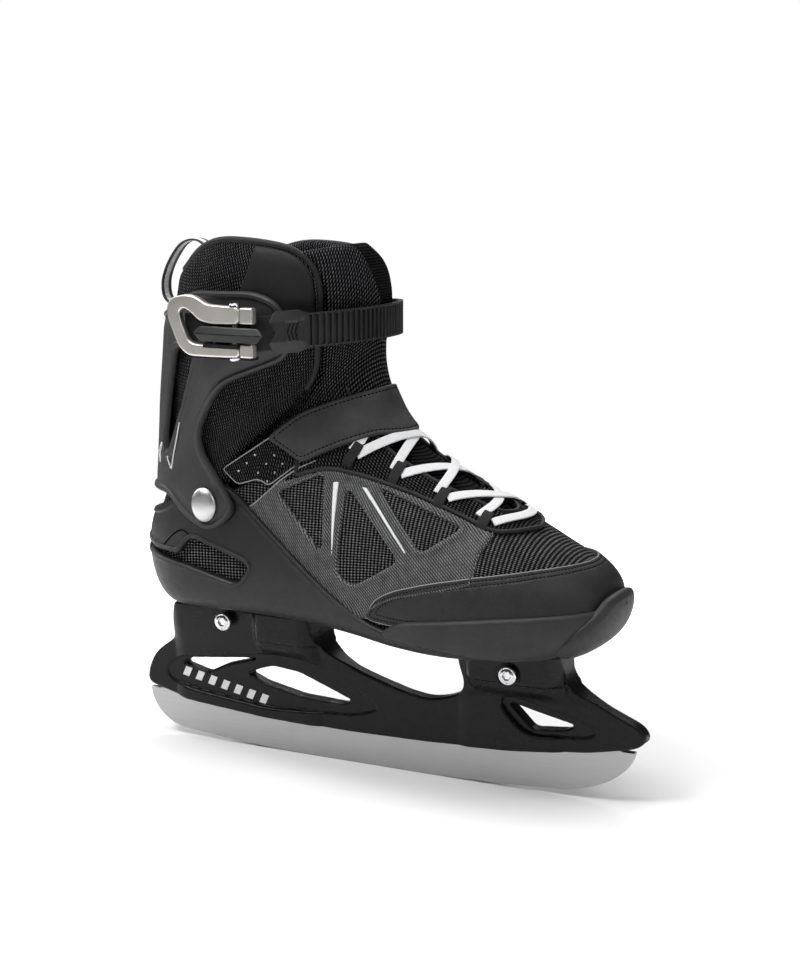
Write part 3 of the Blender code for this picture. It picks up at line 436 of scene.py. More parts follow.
def frames(points, ups):
    """Unit vectors along a line, across it and up from it, at each point."""
    along = unit(np.gradient(points, axis=0))
    across = unit(np.cross(ups, along))
    return along, across, np.cross(along, across)


def sweep(name, points, ups, section, finish, closed=False):
    """A section of (across, up) pairs swept along points."""
    _, across, up = frames(points, ups)
    rings = points[:, None] + across[:, None] * section[:, :1] + up[:, None] * section[:, 1:]
    faces = []
    rows, m = len(points), len(section)
    for i in range(rows if closed else rows - 1):
        faces += band(m, i * m, (i + 1) % rows * m)
    if not closed:
        faces += [tuple(range(m))[::-1], tuple(range((rows - 1) * m, rows * m))]
    place = np.stack(np.broadcast_arrays(run_along(points)[:, None], section[:, 0], section[:, 1]), 2)
    return make_object(name, rings.reshape(-1, 3), faces, finish, place.reshape(-1, 3), 50.0)


def ellipse(width, height, steps=10, power=1.0):
    a = np.linspace(0, TAU, steps, endpoint=False)
    shape = lambda v: np.sign(v) * np.abs(v)**power
    return np.stack([shape(np.cos(a)) * width / 2, shape(np.sin(a)) * height / 2], 1)


def join(name, pieces):
    """Joins objects of one material into one named piece."""
    bm = bmesh.new()
    for piece in pieces:
        bm.from_mesh(piece.data)
    mesh = pieces[0].data.copy()
    bm.to_mesh(mesh)
    bm.free()
    for piece in pieces:
        bpy.data.objects.remove(piece)
    mesh.name = name
    return linked(name, mesh)


STITCH = [(-1.0, 0.0), (-0.62, 0.8), (0.0, 1.0), (0.62, 0.8), (1.0, 0.0)]


def stitches(name, lines, finish, pitch=2.3, length=1.5, width=0.55, sink=0.1):
    """A row of thread stitches along each line."""
    points, faces = [], []
    for line, ups in lines:
        if run_along(line)[-1] < 2 * pitch:
            continue
        at, up = resample(line, ups, pitch)
        along, across, up = frames(at, up)
        for p, a, c, n in zip(at[:-1], along[:-1], across[:-1], up[:-1]):
            start = len(points)
            for share, size in STITCH:
                centre = p + a * (pitch / 2 + share * length / 2) + n * (width * 0.25 * size - sink)
                for k in range(5):
                    angle = TAU * k / 5 + 0.3
                    r = width / 2 * max(size, 0.25)
                    points.append(centre + c * r * math.cos(angle) + n * r * math.sin(angle))
            for ring in range(start, start + 20, 5):
                faces += band(5, ring, ring + 5)
            faces += [tuple(range(start, start + 5))[::-1], tuple(range(start + 20, start + 25))]
    return make_object(name, points, faces, finish)


def piping(name, lines, finish, radius=0.7, pitch=1.6, sink=0.0):
    """A round cord laid along each line."""
    made = []
    for line, ups in lines:
        shut = np.linalg.norm(line[0] - line[-1]) < 1e-6
        at, up = resample(line, ups, pitch)
        if shut:
            at, up = at[:-1], up[:-1]
        if len(at) < 4:
            continue
        made.append(sweep(name + "_run", at - up * sink, up, ellipse(2 * radius, 2 * radius, 8), finish, shut))
    return join(name, made)


# ---------------------------------------------------------------- moulded and metal pieces

def smooth_min(a, b, k):
    h = np.clip(0.5 + 0.5 * (b - a) / k, 0, 1)
    return b * (1 - h) + a * h - k * h * (1 - h)


def smooth_max(a, b, k):
    return -smooth_min(-a, -b, k)


def slab(d_outline, height, r):
    """A rounded solid: an outline (distance positive inside) thickened to |height| <= 0."""
    a, b = -d_outline + r, height + r
    return np.minimum(np.maximum(a, b), 0) + np.sqrt(np.maximum(a, 0)**2 + np.maximum(b, 0)**2) - r


def rod(x, y, r):
    return np.sqrt(x * x + y * y) - r


def block(x, y, z, low, high, r):
    q = [np.abs(v - (l + h) / 2) - (h - l) / 2 + r for v, l, h in zip((x, y, z), low, high)]
    out = np.sqrt(sum(np.maximum(v, 0)**2 for v in q))
    return out + np.minimum(np.maximum(np.maximum(q[0], q[1]), q[2]), 0) - r


def moulded(name, solid, low, high, pitch, finish):
    """A mesh over the surface where solid(x, y, z) is zero: one point per mixed cell, pulled onto the surface."""
    axes = [np.arange(a, b + pitch, pitch) for a, b in zip(low, high)]
    grid = np.array(np.broadcast_to(solid(axes[0][:, None, None], axes[1][None, :, None], axes[2][None, None, :]),
                                    [len(a) for a in axes]))
    inside = grid < 0
    ahead, behind = slice(1, None), slice(0, -1)
    corner = sum(inside[i, j, k].astype(np.int8) for i in (behind, ahead) for j in (behind, ahead)
                 for k in (behind, ahead))
    mixed = (corner > 0) & (corner < 8)
    index = np.full(mixed.shape, -1)
    index[mixed] = np.arange(mixed.sum())
    total, number = np.zeros((mixed.sum(), 3)), np.zeros(mixed.sum())
    quads = []
    for axis in range(3):
        take = [slice(None)] * 3
        take[axis] = behind
        v0, in0 = grid[tuple(take)], inside[tuple(take)]
        take[axis] = ahead
        v1, in1 = grid[tuple(take)], inside[tuple(take)]
        at = np.argwhere(in0 != in1)
        b, c = [k for k in range(3) if k != axis]
        ok = (at[:, b] > 0) & (at[:, c] > 0) & (at[:, b] < grid.shape[b] - 1) & (at[:, c] < grid.shape[c] - 1)
        at = at[ok]
        i0 = tuple(at.T)
        share = v0[i0] / (v0[i0] - v1[i0])
        point = at.astype(float)
        point[:, axis] += share
        cells = []
        for db, dc in ((0, 0), (-1, 0), (-1, -1), (0, -1)):
            cell = at.copy()
            cell[:, b] += db
            cell[:, c] += dc
            ids = index[tuple(cell.T)]
            np.add.at(total, ids, point)
            np.add.at(number, ids, 1)
            cells.append(ids)
        quad = np.stack(cells, 1)
        flip = in0[i0] if axis != 1 else ~in0[i0]
        quads.append(np.where(flip[:, None], quad[:, ::-1], quad))
    points = total / np.maximum(number, 1)[:, None] * pitch + np.array([a[0] for a in axes])
    quads = np.concatenate(quads)
    h = 0.05
    for _ in range(2):
        value = solid(*points.T)
        grad = np.stack([(solid(*(points + e).T) - solid(*(points - e).T)) / (2 * h)
                         for e in np.eye(3) * h], 1)
        size = np.maximum((grad**2).sum(1), 0.25)
        points = points - np.clip(value / size, -pitch / 2, pitch / 2)[:, None] * grad * 0.8
    return face_outwards(make_object(name, points, quads, finish, sharp=60.0))


def turned(name, profile, axis, centre, finish, steps=48):
    """A profile of (radius, height) pairs turned about an axis; it starts and ends on the axis."""
    turn = {"Z": Matrix.Identity(3), "Y": Matrix.Rotation(-math.pi / 2, 3, "X"),
            "-Y": Matrix.Rotation(math.pi / 2, 3, "X")}[axis]
    points, faces, rings = [], [], []
    for r, h in profile:
        if r < 1e-6:
            rings.append([len(points)])
            points.append((0, 0, h))
        else:
            rings.append(list(range(len(points), len(points) + steps)))
            points += [(r * math.cos(TAU * k / steps), r * math.sin(TAU * k / steps), h) for k in range(steps)]
    for a, b in zip(rings, rings[1:]):
        for k in range(steps):
            quad = [a[k % len(a)], a[(k + 1) % len(a)], b[(k + 1) % len(b)], b[k % len(b)]]
            quad = list(dict.fromkeys(quad))
            if len(quad) > 2:
                faces.append(quad)
    points = [tuple(turn @ Vector(p) + Vector(centre)) for p in points]
    return face_outwards(make_object(name, points, faces, finish, sharp=35))


# ---------------------------------------------------------------- materials

class Finish:
    """A node material, with the few node shapes that the looks are made from. Patterns are sized in millimetres."""

    def __init__(self, name, colour, roughness, **sockets):
        self.material = bpy.data.materials.new(name)
        self.material.use_nodes = True
        self.tree = self.material.node_tree
        self.shader = self.tree.nodes["Principled BSDF"]
        self.set("Base Color", (*colour, 1.0))
        self.set("Roughness", roughness)
        for socket, value in sockets.items():
            self.set(socket.replace("_", " ").title().replace("Ior", "IOR"), value)
        self.bumped = None

    def feed(self, socket, value):
        if isinstance(value, bpy.types.NodeSocket):
            self.tree.links.new(value, socket)
        else:
            socket.default_value = value

    def set(self, socket, value):
        self.feed(self.shader.inputs[socket], value)

    def node(self, kind, **values):
        made = self.tree.nodes.new("ShaderNode" + kind)
        for key, value in values.items():
            if hasattr(made, key):
                setattr(made, key, value)
                continue
            numbered = key[0] == "i" and key[1:].isdigit()
            self.feed(made.inputs[int(key[1:]) if numbered else key.replace("_", " ")], value)
        return made

    def math(self, operation, a, b=0.0):
        return self.node("Math", operation=operation, i0=a, i1=b).outputs[0]

    def parts(self, place):
        return self.node("SeparateXYZ", Vector=place).outputs

    def ripple(self, value, pitch):
        """0 to 1 and back once in each pitch."""
        return self.ramp(self.math("SINE", self.math("MULTIPLY", value, TAU / pitch)), -1.0, 1.0)

    def cloth(self):
        """Places along and across the cloth, in millimetres."""
        return self.node("Attribute", attribute_type="GEOMETRY", attribute_name="cloth").outputs["Vector"]

    def solid(self, scale=(1, 1, 1)):
        """Places in space, in millimetres; a small scale factor stretches a pattern along its axis."""
        place = self.node("TexCoord").outputs["Object"]
        return self.node("VectorMath", operation="MULTIPLY", i0=place, i1=[1000 * s for s in scale]).outputs[0]

    def noise(self, place, size, detail=3.0, rough=0.55):
        return self.node("TexNoise", Vector=place, Scale=1.0 / size, Detail=detail, Roughness=rough).outputs[0]

    def ramp(self, value, low, high, start=0.0, end=1.0):
        return self.node("MapRange", Value=value, From_Min=low, From_Max=high, To_Min=start, To_Max=end).outputs[0]

    def mix(self, share, a, b):
        made = self.tree.nodes.new("ShaderNodeMix")
        made.data_type = "RGBA"
        self.feed(made.inputs[0], share)
        for socket, colour in ((made.inputs[6], a), (made.inputs[7], b)):
            self.feed(socket, (*colour, 1.0) if isinstance(colour, tuple) else colour)
        return made.outputs[2]

    def bump(self, height, depth, strength=1.0):
        """Adds a bump whose full height is depth millimetres."""
        values = {"Height": height, "Distance": depth * MM, "Strength": strength}
        if self.bumped:
            values["Normal"] = self.bumped
        self.bumped = self.node("Bump", **values).outputs[0]
        self.set("Normal", self.bumped)

    def wear(self, colour, worn):
        """Lightens the colour along convex edges, unevenly."""
        edge = self.ramp(self.node("NewGeometry").outputs["Pointiness"], 0.52, 0.62)
        patchy = self.ramp(self.noise(self.solid(), 6.0), 0.35, 0.65)
        return self.mix(self.math("MULTIPLY", self.math("MULTIPLY", edge, patchy), 0.35), colour, worn)


def knit(f, place, pitch_along, pitch_across):
    """A lattice of rounded knots, 1 on a knot and 0 in a hole."""
    along, across, _ = f.parts(place)
    a = f.math("MULTIPLY", along, math.pi / pitch_along)
    b = f.math("MULTIPLY", across, math.pi / pitch_across)
    first = f.math("COSINE", f.math("ADD", a, b))
    second = f.math("COSINE", f.math("SUBTRACT", a, b))
    return f.ramp(f.math("MULTIPLY", first, second), -0.1, 0.9)


MESH_DARK = (0.001, 0.001, 0.0012)


def scaled(colour, factor):
    return tuple(factor * c for c in colour)


def mesh_fabric(name, along, across, depth, light, drape=None):
    """A knitted mesh, laid along the boot or, with drape, straight down over the toe or the shin. Its knot tops carry a
    painted highlight.
    """
    f = Finish(name, MESH_DARK, 0.75, Specular_IOR_Level=0.03)
    laid = f.cloth()
    if drape:
        x, y, z = f.parts(f.solid())
        down = f.math("SUBTRACT", f.math("ABSOLUTE", y), z)
        laid = f.node("CombineXYZ", X=x if drape == "toe" else z, Y=down if drape == "toe" else y).outputs[0]
    warp = f.noise(f.cloth(), 9.0, 2.0)
    place = f.node("VectorMath", operation="ADD", i0=laid, i1=f.node(
        "VectorMath", operation="SCALE", i0=f.node("TexNoise", Vector=laid, Scale=0.12).outputs[1],
        Scale=0.5).outputs[0]).outputs[0]
    knots = knit(f, place, along, across)
    painted_highlight = f.math("MULTIPLY", knots, f.ramp(f.noise(f.cloth(), 1.3, 2.0), 0.3, 0.75, 0.35, 1.0))
    painted_highlight = f.math("MULTIPLY", painted_highlight, f.ramp(warp, 0.3, 0.7, 0.75, 1.1))
    # painted highlight: knot tops are painted towards the light colour as painted sheen, varied by random tone; the
    # holes keep the fabric's dark colour
    f.set("Base Color", f.mix(painted_highlight, MESH_DARK, light))
    f.set("Roughness", f.ramp(knots, 0.0, 1.0, 0.9, 0.5))
    f.bump(knots, depth)
    f.bump(f.noise(f.cloth(), 0.35, 2.0), depth * 0.3)
    return f.material


WORN = (0.05, 0.05, 0.052)


def leatherette(name, colour, roughness, grain=0.10, cell=0.9):
    """Grained leather cloth, paler along its worn edges."""
    f = Finish(name, colour, roughness, Specular_IOR_Level=0.3)
    pores = f.node("TexVoronoi", Vector=f.solid(), Scale=1.0 / cell, feature="DISTANCE_TO_EDGE").outputs[0]
    pores = f.ramp(pores, 0.0, 0.16)
    broad = f.noise(f.solid(), 14.0, 3.0)
    f.set("Base Color", f.wear(f.mix(f.ramp(broad, 0.3, 0.7), scaled(colour, 0.8), scaled(colour, 1.25)), WORN))
    f.set("Roughness", f.ramp(f.noise(f.solid(), 3.0, 4.0), 0.3, 0.7, roughness - 0.08, roughness + 0.1))
    f.bump(pores, grain, 0.6)
    f.bump(broad, 0.35, 0.4)
    return f.material


def moulded_plastic(name, colour, roughness, grain, cell=0.55, gloss=0.32):
    """Plastic or rubber with a moulded grain, scuffs and worn edges."""
    f = Finish(name, colour, roughness, Specular_IOR_Level=gloss)
    fine = f.noise(f.solid(), cell, 2.0)
    scuffs = f.noise(f.solid((0.8, 1.0, 1.1)), 3.0, 5.0, 0.65)
    f.set("Base Color", f.wear(f.mix(f.ramp(f.noise(f.solid(), 22.0), 0.3, 0.7), scaled(colour, 0.85),
                                     scaled(colour, 1.2)), WORN))
    f.set("Roughness", f.math("ADD", f.ramp(scuffs, 0.35, 0.75, roughness - 0.05, roughness + 0.12),
                              f.ramp(fine, 0.3, 0.7, -0.03, 0.05)))
    f.bump(fine, grain, 0.7)
    f.bump(scuffs, 0.03, 0.5)
    return f.material


def ribbed_fabric(name, colour, light, pitch):
    """A fine diagonal emboss whose raised ribs carry a painted highlight."""
    f = Finish(name, colour, 0.55, Specular_IOR_Level=0.28)
    along, across, _ = f.parts(f.cloth())
    ribs = f.ripple(f.math("ADD", f.math("MULTIPLY", along, 0.55), across), pitch)
    dots = f.ripple(along, pitch * 0.8)
    relief = f.math("MULTIPLY", ribs, f.ramp(dots, 0.0, 1.0, 0.55, 1.0))
    painted_highlight = f.math("MULTIPLY", relief, f.ramp(f.noise(f.cloth(), 5.0), 0.3, 0.7, 0.5, 1.0))
    # painted highlight: the raised ribs are painted towards the light colour, varied by random tone
    f.set("Base Color", f.mix(painted_highlight, colour, light))
    f.set("Roughness", f.ramp(relief, 0.0, 1.0, 0.72, 0.48))
    f.bump(relief, 0.16, 0.7)
    return f.material


def thread(name, colour, roughness, gloss=0.5):
    """Twisted yarn or a painted cord."""
    f = Finish(name, colour, roughness, Specular_IOR_Level=gloss)
    twist = f.noise(f.solid(), 0.25, 2.0)
    f.set("Base Color", f.mix(f.ramp(twist, 0.35, 0.65), scaled(colour, 0.7), colour))
    f.bump(twist, 0.08)
    return f.material


def webbing(name, colour, light, pitch=0.9, depth=0.14):
    """A flat woven band: a chevron of small floats."""
    f = Finish(name, colour, 0.75, Specular_IOR_Level=0.3)
    along, across, _ = f.parts(f.cloth())
    floats = f.ripple(f.math("ADD", along, f.math("PINGPONG", across, 1.3)), pitch)
    f.set("Base Color", f.mix(f.math("MULTIPLY", floats, f.ramp(f.noise(f.cloth(), 2.0), 0.3, 0.7, 0.6, 1.0)),
                              colour, light))
    f.bump(floats, depth)
    return f.material


def metal(name, colour, roughness, streak=(0.02, 1.0, 1.0), size=0.4, depth=0.012, tint=0.18):
    """Ground or satin metal: fine streaks along the axes with a small scale factor."""
    f = Finish(name, colour, roughness, Metallic=1.0)
    lines = f.noise(f.solid(streak), size, 4.0, 0.6)
    cloud = f.noise(f.solid(), 30.0, 3.0)
    f.set("Base Color", f.mix(f.ramp(f.math("ADD", f.math("MULTIPLY", lines, 0.6), f.math("MULTIPLY", cloud, 0.4)),
                                     0.35, 0.65), scaled(colour, 1 - tint), colour))
    f.set("Roughness", f.math("ADD", f.ramp(lines, 0.3, 0.7, roughness - 0.06, roughness + 0.08),
                              f.ramp(cloud, 0.3, 0.7, -0.04, 0.05)))
    f.bump(lines, depth, 0.5)
    return f.material


# The light colours of the mesh and ribbed fabrics are painted highlights on their knot and rib tops.
TOE_MESH = mesh_fabric("toe_mesh", 2.1, 1.6, 0.5, light=(0.30, 0.30, 0.308), drape="toe")
COLLAR_MESH = mesh_fabric("collar_mesh", 2.4, 1.6, 0.8, light=(0.20, 0.20, 0.21))
WINDOW_MESH = mesh_fabric("window_mesh", 2.0, 1.5, 0.7, light=(0.13, 0.13, 0.135))
LINING = mesh_fabric("lining", 1.0, 0.8, 0.15, light=(0.012, 0.012, 0.013))
SOFT_MESH = mesh_fabric("soft_mesh", 1.5, 1.1, 0.15, light=(0.030, 0.030, 0.031), drape="shin")
LEATHER = leatherette("leather", (0.014, 0.014, 0.0146), 0.5)
STRAP_LEATHER = leatherette("strap_leather", (0.029, 0.029, 0.030), 0.52)
NEOPRENE = leatherette("neoprene", (0.007, 0.007, 0.0075), 0.6, 0.04, 0.6)
RUBBER = moulded_plastic("rubber", (0.022, 0.022, 0.0228), 0.55, 0.04, 0.8)
SHELL_PLASTIC = moulded_plastic("shell_plastic", (0.007, 0.007, 0.0074), 0.44, 0.05, 0.7)
CUFF_PLASTIC = moulded_plastic("cuff_plastic", (0.029, 0.029, 0.030), 0.46, 0.12, 0.6)
HOLDER_PLASTIC = moulded_plastic("holder_plastic", (0.0035, 0.0035, 0.0037), 0.3, 0.04, 0.7, gloss=0.2)
BUCKLE_PLASTIC = moulded_plastic("buckle_plastic", (0.006, 0.006, 0.0063), 0.36, 0.03)
STRAP_PLASTIC = moulded_plastic("strap_plastic", (0.018, 0.018, 0.0187), 0.36, 0.03)
PANEL_FABRIC = ribbed_fabric("panel_fabric", (0.003, 0.003, 0.0032), (0.20, 0.20, 0.206), 1.8)
THREAD = thread("thread", (0.0015, 0.0015, 0.0016), 0.9, 0.02)
GREY_EDGE = thread("grey_edge", (0.30, 0.30, 0.31), 0.5)
WHITE_TRIM = thread("white_trim", (0.82, 0.82, 0.83), 0.45)
BLACK_WEBBING = webbing("black_webbing", (0.002, 0.002, 0.0022), (0.022, 0.022, 0.023))
LACE_WEAVE = webbing("lace_weave", (0.62, 0.62, 0.63), (0.86, 0.86, 0.87), 1.1, 0.2)
STEEL = metal("ground_steel", (0.47, 0.47, 0.475), 0.38)
BRIGHT = metal("bright_steel", (0.66, 0.66, 0.67), 0.24, (1.0, 1.0, 1.0), 2.0, 0.01, 0.1)
SATIN = metal("satin_steel", (0.56, 0.56, 0.565), 0.4, (1.0, 1.0, 1.0), 2.0, 0.01, 0.1)
ALLOY = metal("satin_alloy", (0.68, 0.66, 0.62), 0.44, (1.0, 1.0, 1.0), 0.5, 0.02, 0.12)


def settle(piece, body, slot, *replaced):
    """Puts a piece on its body, in place of the CAD nodes that it stands for; slot is not used."""
    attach(piece, body)
    if replaced:
        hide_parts(*replaced)
    return piece


def smooth_line(points):
    """A smooth line through points, with 8 steps from each to the next."""
    rows = np.array(points, float)
    return catmull(rows, np.linspace(0, len(rows) - 1, (len(rows) - 1) * 8 + 1))


# ---------------------------------------------------------------- boot: outlines, seen from the side

UPPER_TOP = [(-160, 155), (-90, 151), (-70, 153), (-40, 172), (0, 200), (30, 216), (60, 230)]
EYESTAY = [(102.8, 0), (101.5, 6), (97.8, 14.5), (92, 21.6), (84.9, 25.6), (68, 26.6), (44, 28), (6, 32.6), (-14, 35.2),
           (-34, 37)]
THROAT = [(88, 0), (84, 9), (60, 15), (30, 18), (0, 19), (-30, 19)]
SHELL_EDGE = [(150, 78), (118, 80), (72, 84), (43, 88), (22, 94), (2, 105), (-18, 120), (-51, 147), (-63, 158),
              (-78, 163), (-93, 157), (-112, 142), (-150, 136)]
HEEL_WINDOW = [(-90.4, 128.3), (-52.2, 116.5), (-60.6, 105.5), (-103, 114.6), (-96.5, 122.6)]
HEEL_SLIT = [(-150, 126), (-119.5, 118.4), (-100, 117.8), (-94, 112.8), (-118, 115.2), (-150, 122)]
PANEL_EDGE_LINE = [(10.35, 0.256), (10.3, 0.247), (10.15, 0.223), (10.0, 0.197), (9.7, 0.170), (9.35, 0.150)]
HEEL_LINE = [(12.05, 0.405), (12.05, 0.373), (11.9, 0.353), (11.5, 0.342)]
CUFF_OUTLINE = [(-80, 134), (-70, 136), (-60, 146), (-62, 152), (-79, 178), (-81, 189), (-71, 206), (-62, 216),
                (-50, 221), (-27, 230), (-23, 236), (-24, 256), (-29, 263), (-40, 267), (-80, 266), (-108, 252),
                (-150, 246), (-150, 152), (-112, 152), (-104, 152), (-94, 142)]
CUFF_OPENING = [(-95, 234), (-79.5, 235.5), (-84, 222), (-91.5, 204), (-101.5, 183), (-107, 173), (-108.5, 184),
                (-103, 205), (-99, 220)]
CUFF_ACCENTS = [[(-92, 199), (-99.6, 184), (-106.6, 171.5), (-102.1, 165), (-100, 174), (-95.6, 187)],
                [(-109.5, 183.5), (-117.4, 173.5), (-114.5, 165.5), (-114.4, 173.6)]]
PANEL_OUTLINE = [(-60, 147), (-50.7, 151), (-34, 165.5), (-18, 176), (-10, 195), (90, 195), (87.6, 144), (83.5, 136),
                 (83, 124), (84, 119), (40, 108), (28, 102), (20, 94), (2, 100), (-18, 114), (-51, 141)]
PANEL_WINDOWS = [[(-36, 158.5), (-8.2, 170.5), (-6.6, 128.5)], [(5.6, 164.4), (40.4, 128.8), (14, 113.1), (3.4, 117.7)],
                 [(22.7, 165), (70.9, 147.2), (51.9, 134)]]
PANEL_SLIVERS = [[(-2.6, 166.2), (0.5, 166.4), (1.3, 124.4), (0.3, 124.2)],
                 [(13.6, 164.6), (16.4, 164.3), (44.6, 133.6), (43.6, 133.2)]]
GUARD_OUTLINE = [(20, 96), (23, 101), (28, 108.5), (38.7, 114), (58.7, 119.7), (83, 124.6), (111, 128.6),
                 (126, 130), (140, 130), (175, 134), (175, 60), (100, 92), (40, 94)]
RAND_OUTLINE = [(28, 88), (36, 93.5), (45, 98), (95, 104.5), (124, 107), (141, 108), (175, 112), (175, 60),
                (120, 79), (72, 83)]
BUMPER_OUTLINE = [(122, 84), (132, 95.5), (142.5, 107.5), (145, 113.5), (147.5, 116.5), (175, 120), (175, 60),
                  (124, 74)]
STRAP_OUTLINE = [(-42.5, 187), (-32.3, 195.9), (-23.9, 202), (-15.6, 205.6), (-1.8, 210.6), (8.6, 213.8), (18, 217),
                 (36, 222.5), (41, 201), (31, 190.5), (16.3, 191), (2.6, 186.4), (-10.8, 180.6), (-22, 175)]
STRAP_PATCH_OUTLINE = [(-71, 168.5), (-52, 181), (-36, 192), (-18, 180), (-24, 173.5), (-41.5, 160.2), (-47.6, 163.8),
                       (-60.8, 159.6)]
COLLAR_FRONT = [(-22, 287.5), (-12, 279.5), (-8.8, 268), (-8.9, 256), (-10.5, 244), (-12.2, 233), (-15.0, 221.5),
                (-20.5, 211.5), (-27, 203.6), (-38, 194), (-50, 184)]
COLLAR_RIM = [(-124, 263), (-112, 270.5), (-101, 274.5), (-93.4, 276.5), (-85.9, 282.6), (-76.4, 288.2),
              (-64.2, 291.4), (-49, 291.3), (-34, 290)]
SOFT_PANEL = [(-40.5, 296), (-29, 296), (-5, 290), (0, 270), (0, 246), (-56, 246), (-52.6, 257.8), (-51, 266.8),
              (-45.6, 278.3)]


PATCH_EYELETS = ((10.5, 0.178), (11.2, 0.180), (11.95, 0.207))  # the first of each row's three places
EYELET_PITCH = 0.0155


def mirrored(half_outline):
    """A full plan outline from its half."""
    return [*half_outline, *((x, -y) for x, y in reversed(half_outline[1:]))]


def wave(p, size, seed):
    """A smooth uneven value between about -1 and 1 over space."""
    a, b, c = (np.sin((p @ np.array(k)) * TAU / size + seed * 1.7) for k in
               ((0.8, 0.5, 0.33), (-0.45, 0.7, 0.55), (0.2, -0.6, 0.77)))
    return (a + b + c) / 3


SIDES = (("outer", -1, (0.0, 0.5)), ("inner", 1, (0.5, 1.0)))


BOOT, CUFF = "boot_body", "cuff_body"


def edge_cord(name, line, side, lift, section, finish):
    """A cord along a line of places on the boot, given for its outer side."""
    u, t = smooth_line([(a, b if side < 0 else 1 - b, 0.0) for a, b in line])[:, :2].T
    return face_outwards(sweep(name, *on_boot(u, t, lift), section, finish))


def make_upper():
    """The woven upper: a toe box and quarters with a throat for the tongue."""
    top = [*UPPER_TOP, (180, 230), (180, 40), (-160, 40)]
    field = inside_all(on_view(top, 0), outside(on_view(mirrored(THROAT), 5, (0, 1))))
    skin = Skin(field, [(0, -1.6), (0.4, -0.6), (1.2, 0.0)], u=(TOE, 14), step=2.6, at=0,
                swell=lambda p, d: 0.15 * wave(p, 30, 1))
    settle(skin.solid("upper_weave", TOE_MESH, -3.8), BOOT, "boot_upper", "boot_upper")


def make_eyestay():
    """The lacing rim: mesh between the throat and a raised dark edge."""
    field = inside_all(on_view(mirrored(EYESTAY), 4, (0, 1)), outside(on_view(mirrored(THROAT), 5, (0, 1))),
                       on_view([(-26, 160), (120, 120), (120, 230), (-26, 230)], 0))
    skin = Skin(field, [(0, 0.6), (0.35, 1.4), (1.0, 1.9), (4.2, 1.6)], u=(2.5, 11), t=(-0.25, 0.25), step=1.8, at=1.0)
    settle(skin.solid("eyestay_mesh", WINDOW_MESH, 0.15), BOOT, "boot_upper")
    rim = piping("eyestay_rim", skin.lines(1.0), NEOPRENE, 1.15, 1.6, 0.2)
    settle(face_outwards(rim), BOOT, "boot_upper")


def make_panels():
    """The quarters' embossed side panels, with their windows, stitching and white slivers."""
    windows = [on_view(w, 4.5) for w in PANEL_WINDOWS]
    for name, side, t in SIDES:
        field = inside_all(on_view(PANEL_OUTLINE, 4), half_space(side, 3.0), *(outside(w) for w in windows),
                           outside(on_view(mirrored(EYESTAY), 4, (0, 1))))
        skin = Skin(field, [(0, 0.2), (0.5, 1.2), (1.2, 1.9), (2.2, 2.2), (3.2, 1.9), (4.4, 1.3), (5.5, 1.2)],
                    u=(2.2, 12.5), t=t, step=1.7, at=1.2, levels=(0.8,))
        node = f"side_panel_{name}"
        settle(skin.solid(f"quarter_panel_{name}", PANEL_FABRIC, 0.25), BOOT, node, node)
        settle(stitches(f"quarter_stitching_{name}", skin.lines(0.8), GREY_EDGE, 2.3, 1.2, 0.42, 0.05), BOOT, node)
        for k, outline in enumerate(PANEL_SLIVERS):
            sliver = Skin(inside_all(on_view(outline, 0.4), half_space(side, 3.0)), [(0, 1.2), (0.3, 1.75), (0.7, 1.9)],
                          u=(5, 9.5), t=t, step=1.0, at=1.2)
            settle(sliver.solid(f"white_accent_{k + 1}_{name}", WHITE_TRIM, 1.0), BOOT, "shoe_lace")


def make_toe():
    """The toe's leather guard, the rubber band under it and the bumper at its tip."""
    guard = Skin(on_view(GUARD_OUTLINE, 5), [(0, 0.5), (0.4, 1.8), (1.0, 2.2), (2.0, 2.1), (2.4, 1.8), (2.8, 2.1),
                 (4.4, 2.1), (4.8, 1.8), (5.2, 2.1)], u=(TOE, 8.5), step=2.2, at=1.5, levels=(0.5,))
    settle(guard.solid("toe_guard_leather", LEATHER, 0.25), BOOT, "toe_guard", "toe_guard")
    seams = guard.lines(2.4) + guard.lines(4.8)
    settle(stitches("toe_guard_stitching", seams, THREAD, 2.0, 1.3, 0.5, 0.0), BOOT, "toe_guard")
    settle(piping("toe_guard_edge", guard.lines(0.5, -0.15), GREY_EDGE, 0.32), BOOT, "toe_guard")
    rand = Skin(on_view(RAND_OUTLINE, 5), [(0, 2.2), (0.4, 3.4), (1.0, 4.1), (2.2, 4.6)], u=(TOE, 8.5),
                step=2.2, at=3.0)
    settle(rand.solid("toe_rand_rubber", RUBBER, 1.5), BOOT, "sole_rand", "sole_rand")
    bumper = Skin(on_view(BUMPER_OUTLINE, 6), [(0, 3.4), (0.4, 5.0), (1.0, 5.9), (2.2, 6.5), (5.0, 6.9)], u=(TOE, 5),
                  step=1.8, at=5.0)
    settle(bumper.solid("toe_bumper_cap", RUBBER, 3.0), BOOT, "toe_bumper", "toe_bumper")


def make_shell():
    """The hard lower boot with a raised rim along its top edge, a heel window and a slit."""
    window, slit = on_view(HEEL_WINDOW, 4), on_view(HEEL_SLIT, 0.5)
    rim = on_view([*SHELL_EDGE, (SHELL_EDGE[-1][0], -50), (SHELL_EDGE[0][0], -50)], 12)
    field = inside_all(rim, outside(window), outside(slit))
    skin = Skin(field, [(0, 2.0), (0.4, 3.3), (1.0, 3.9), (2.6, 4.0), (3.1, 3.4), (3.8, 3.3)], u=(TOE + 0.6, 14.6),
                step=2.4, at=2.5)
    settle(skin.solid("boot_shell_moulding", SHELL_PLASTIC, 0.5), BOOT, "boot_shell", "boot_shell")
    for name, side, _ in SIDES:
        settle(edge_cord(f"heel_seam_{name}", HEEL_LINE, side, 3.3, ellipse(0.9, 0.5, 8), THREAD), BOOT, "boot_shell")


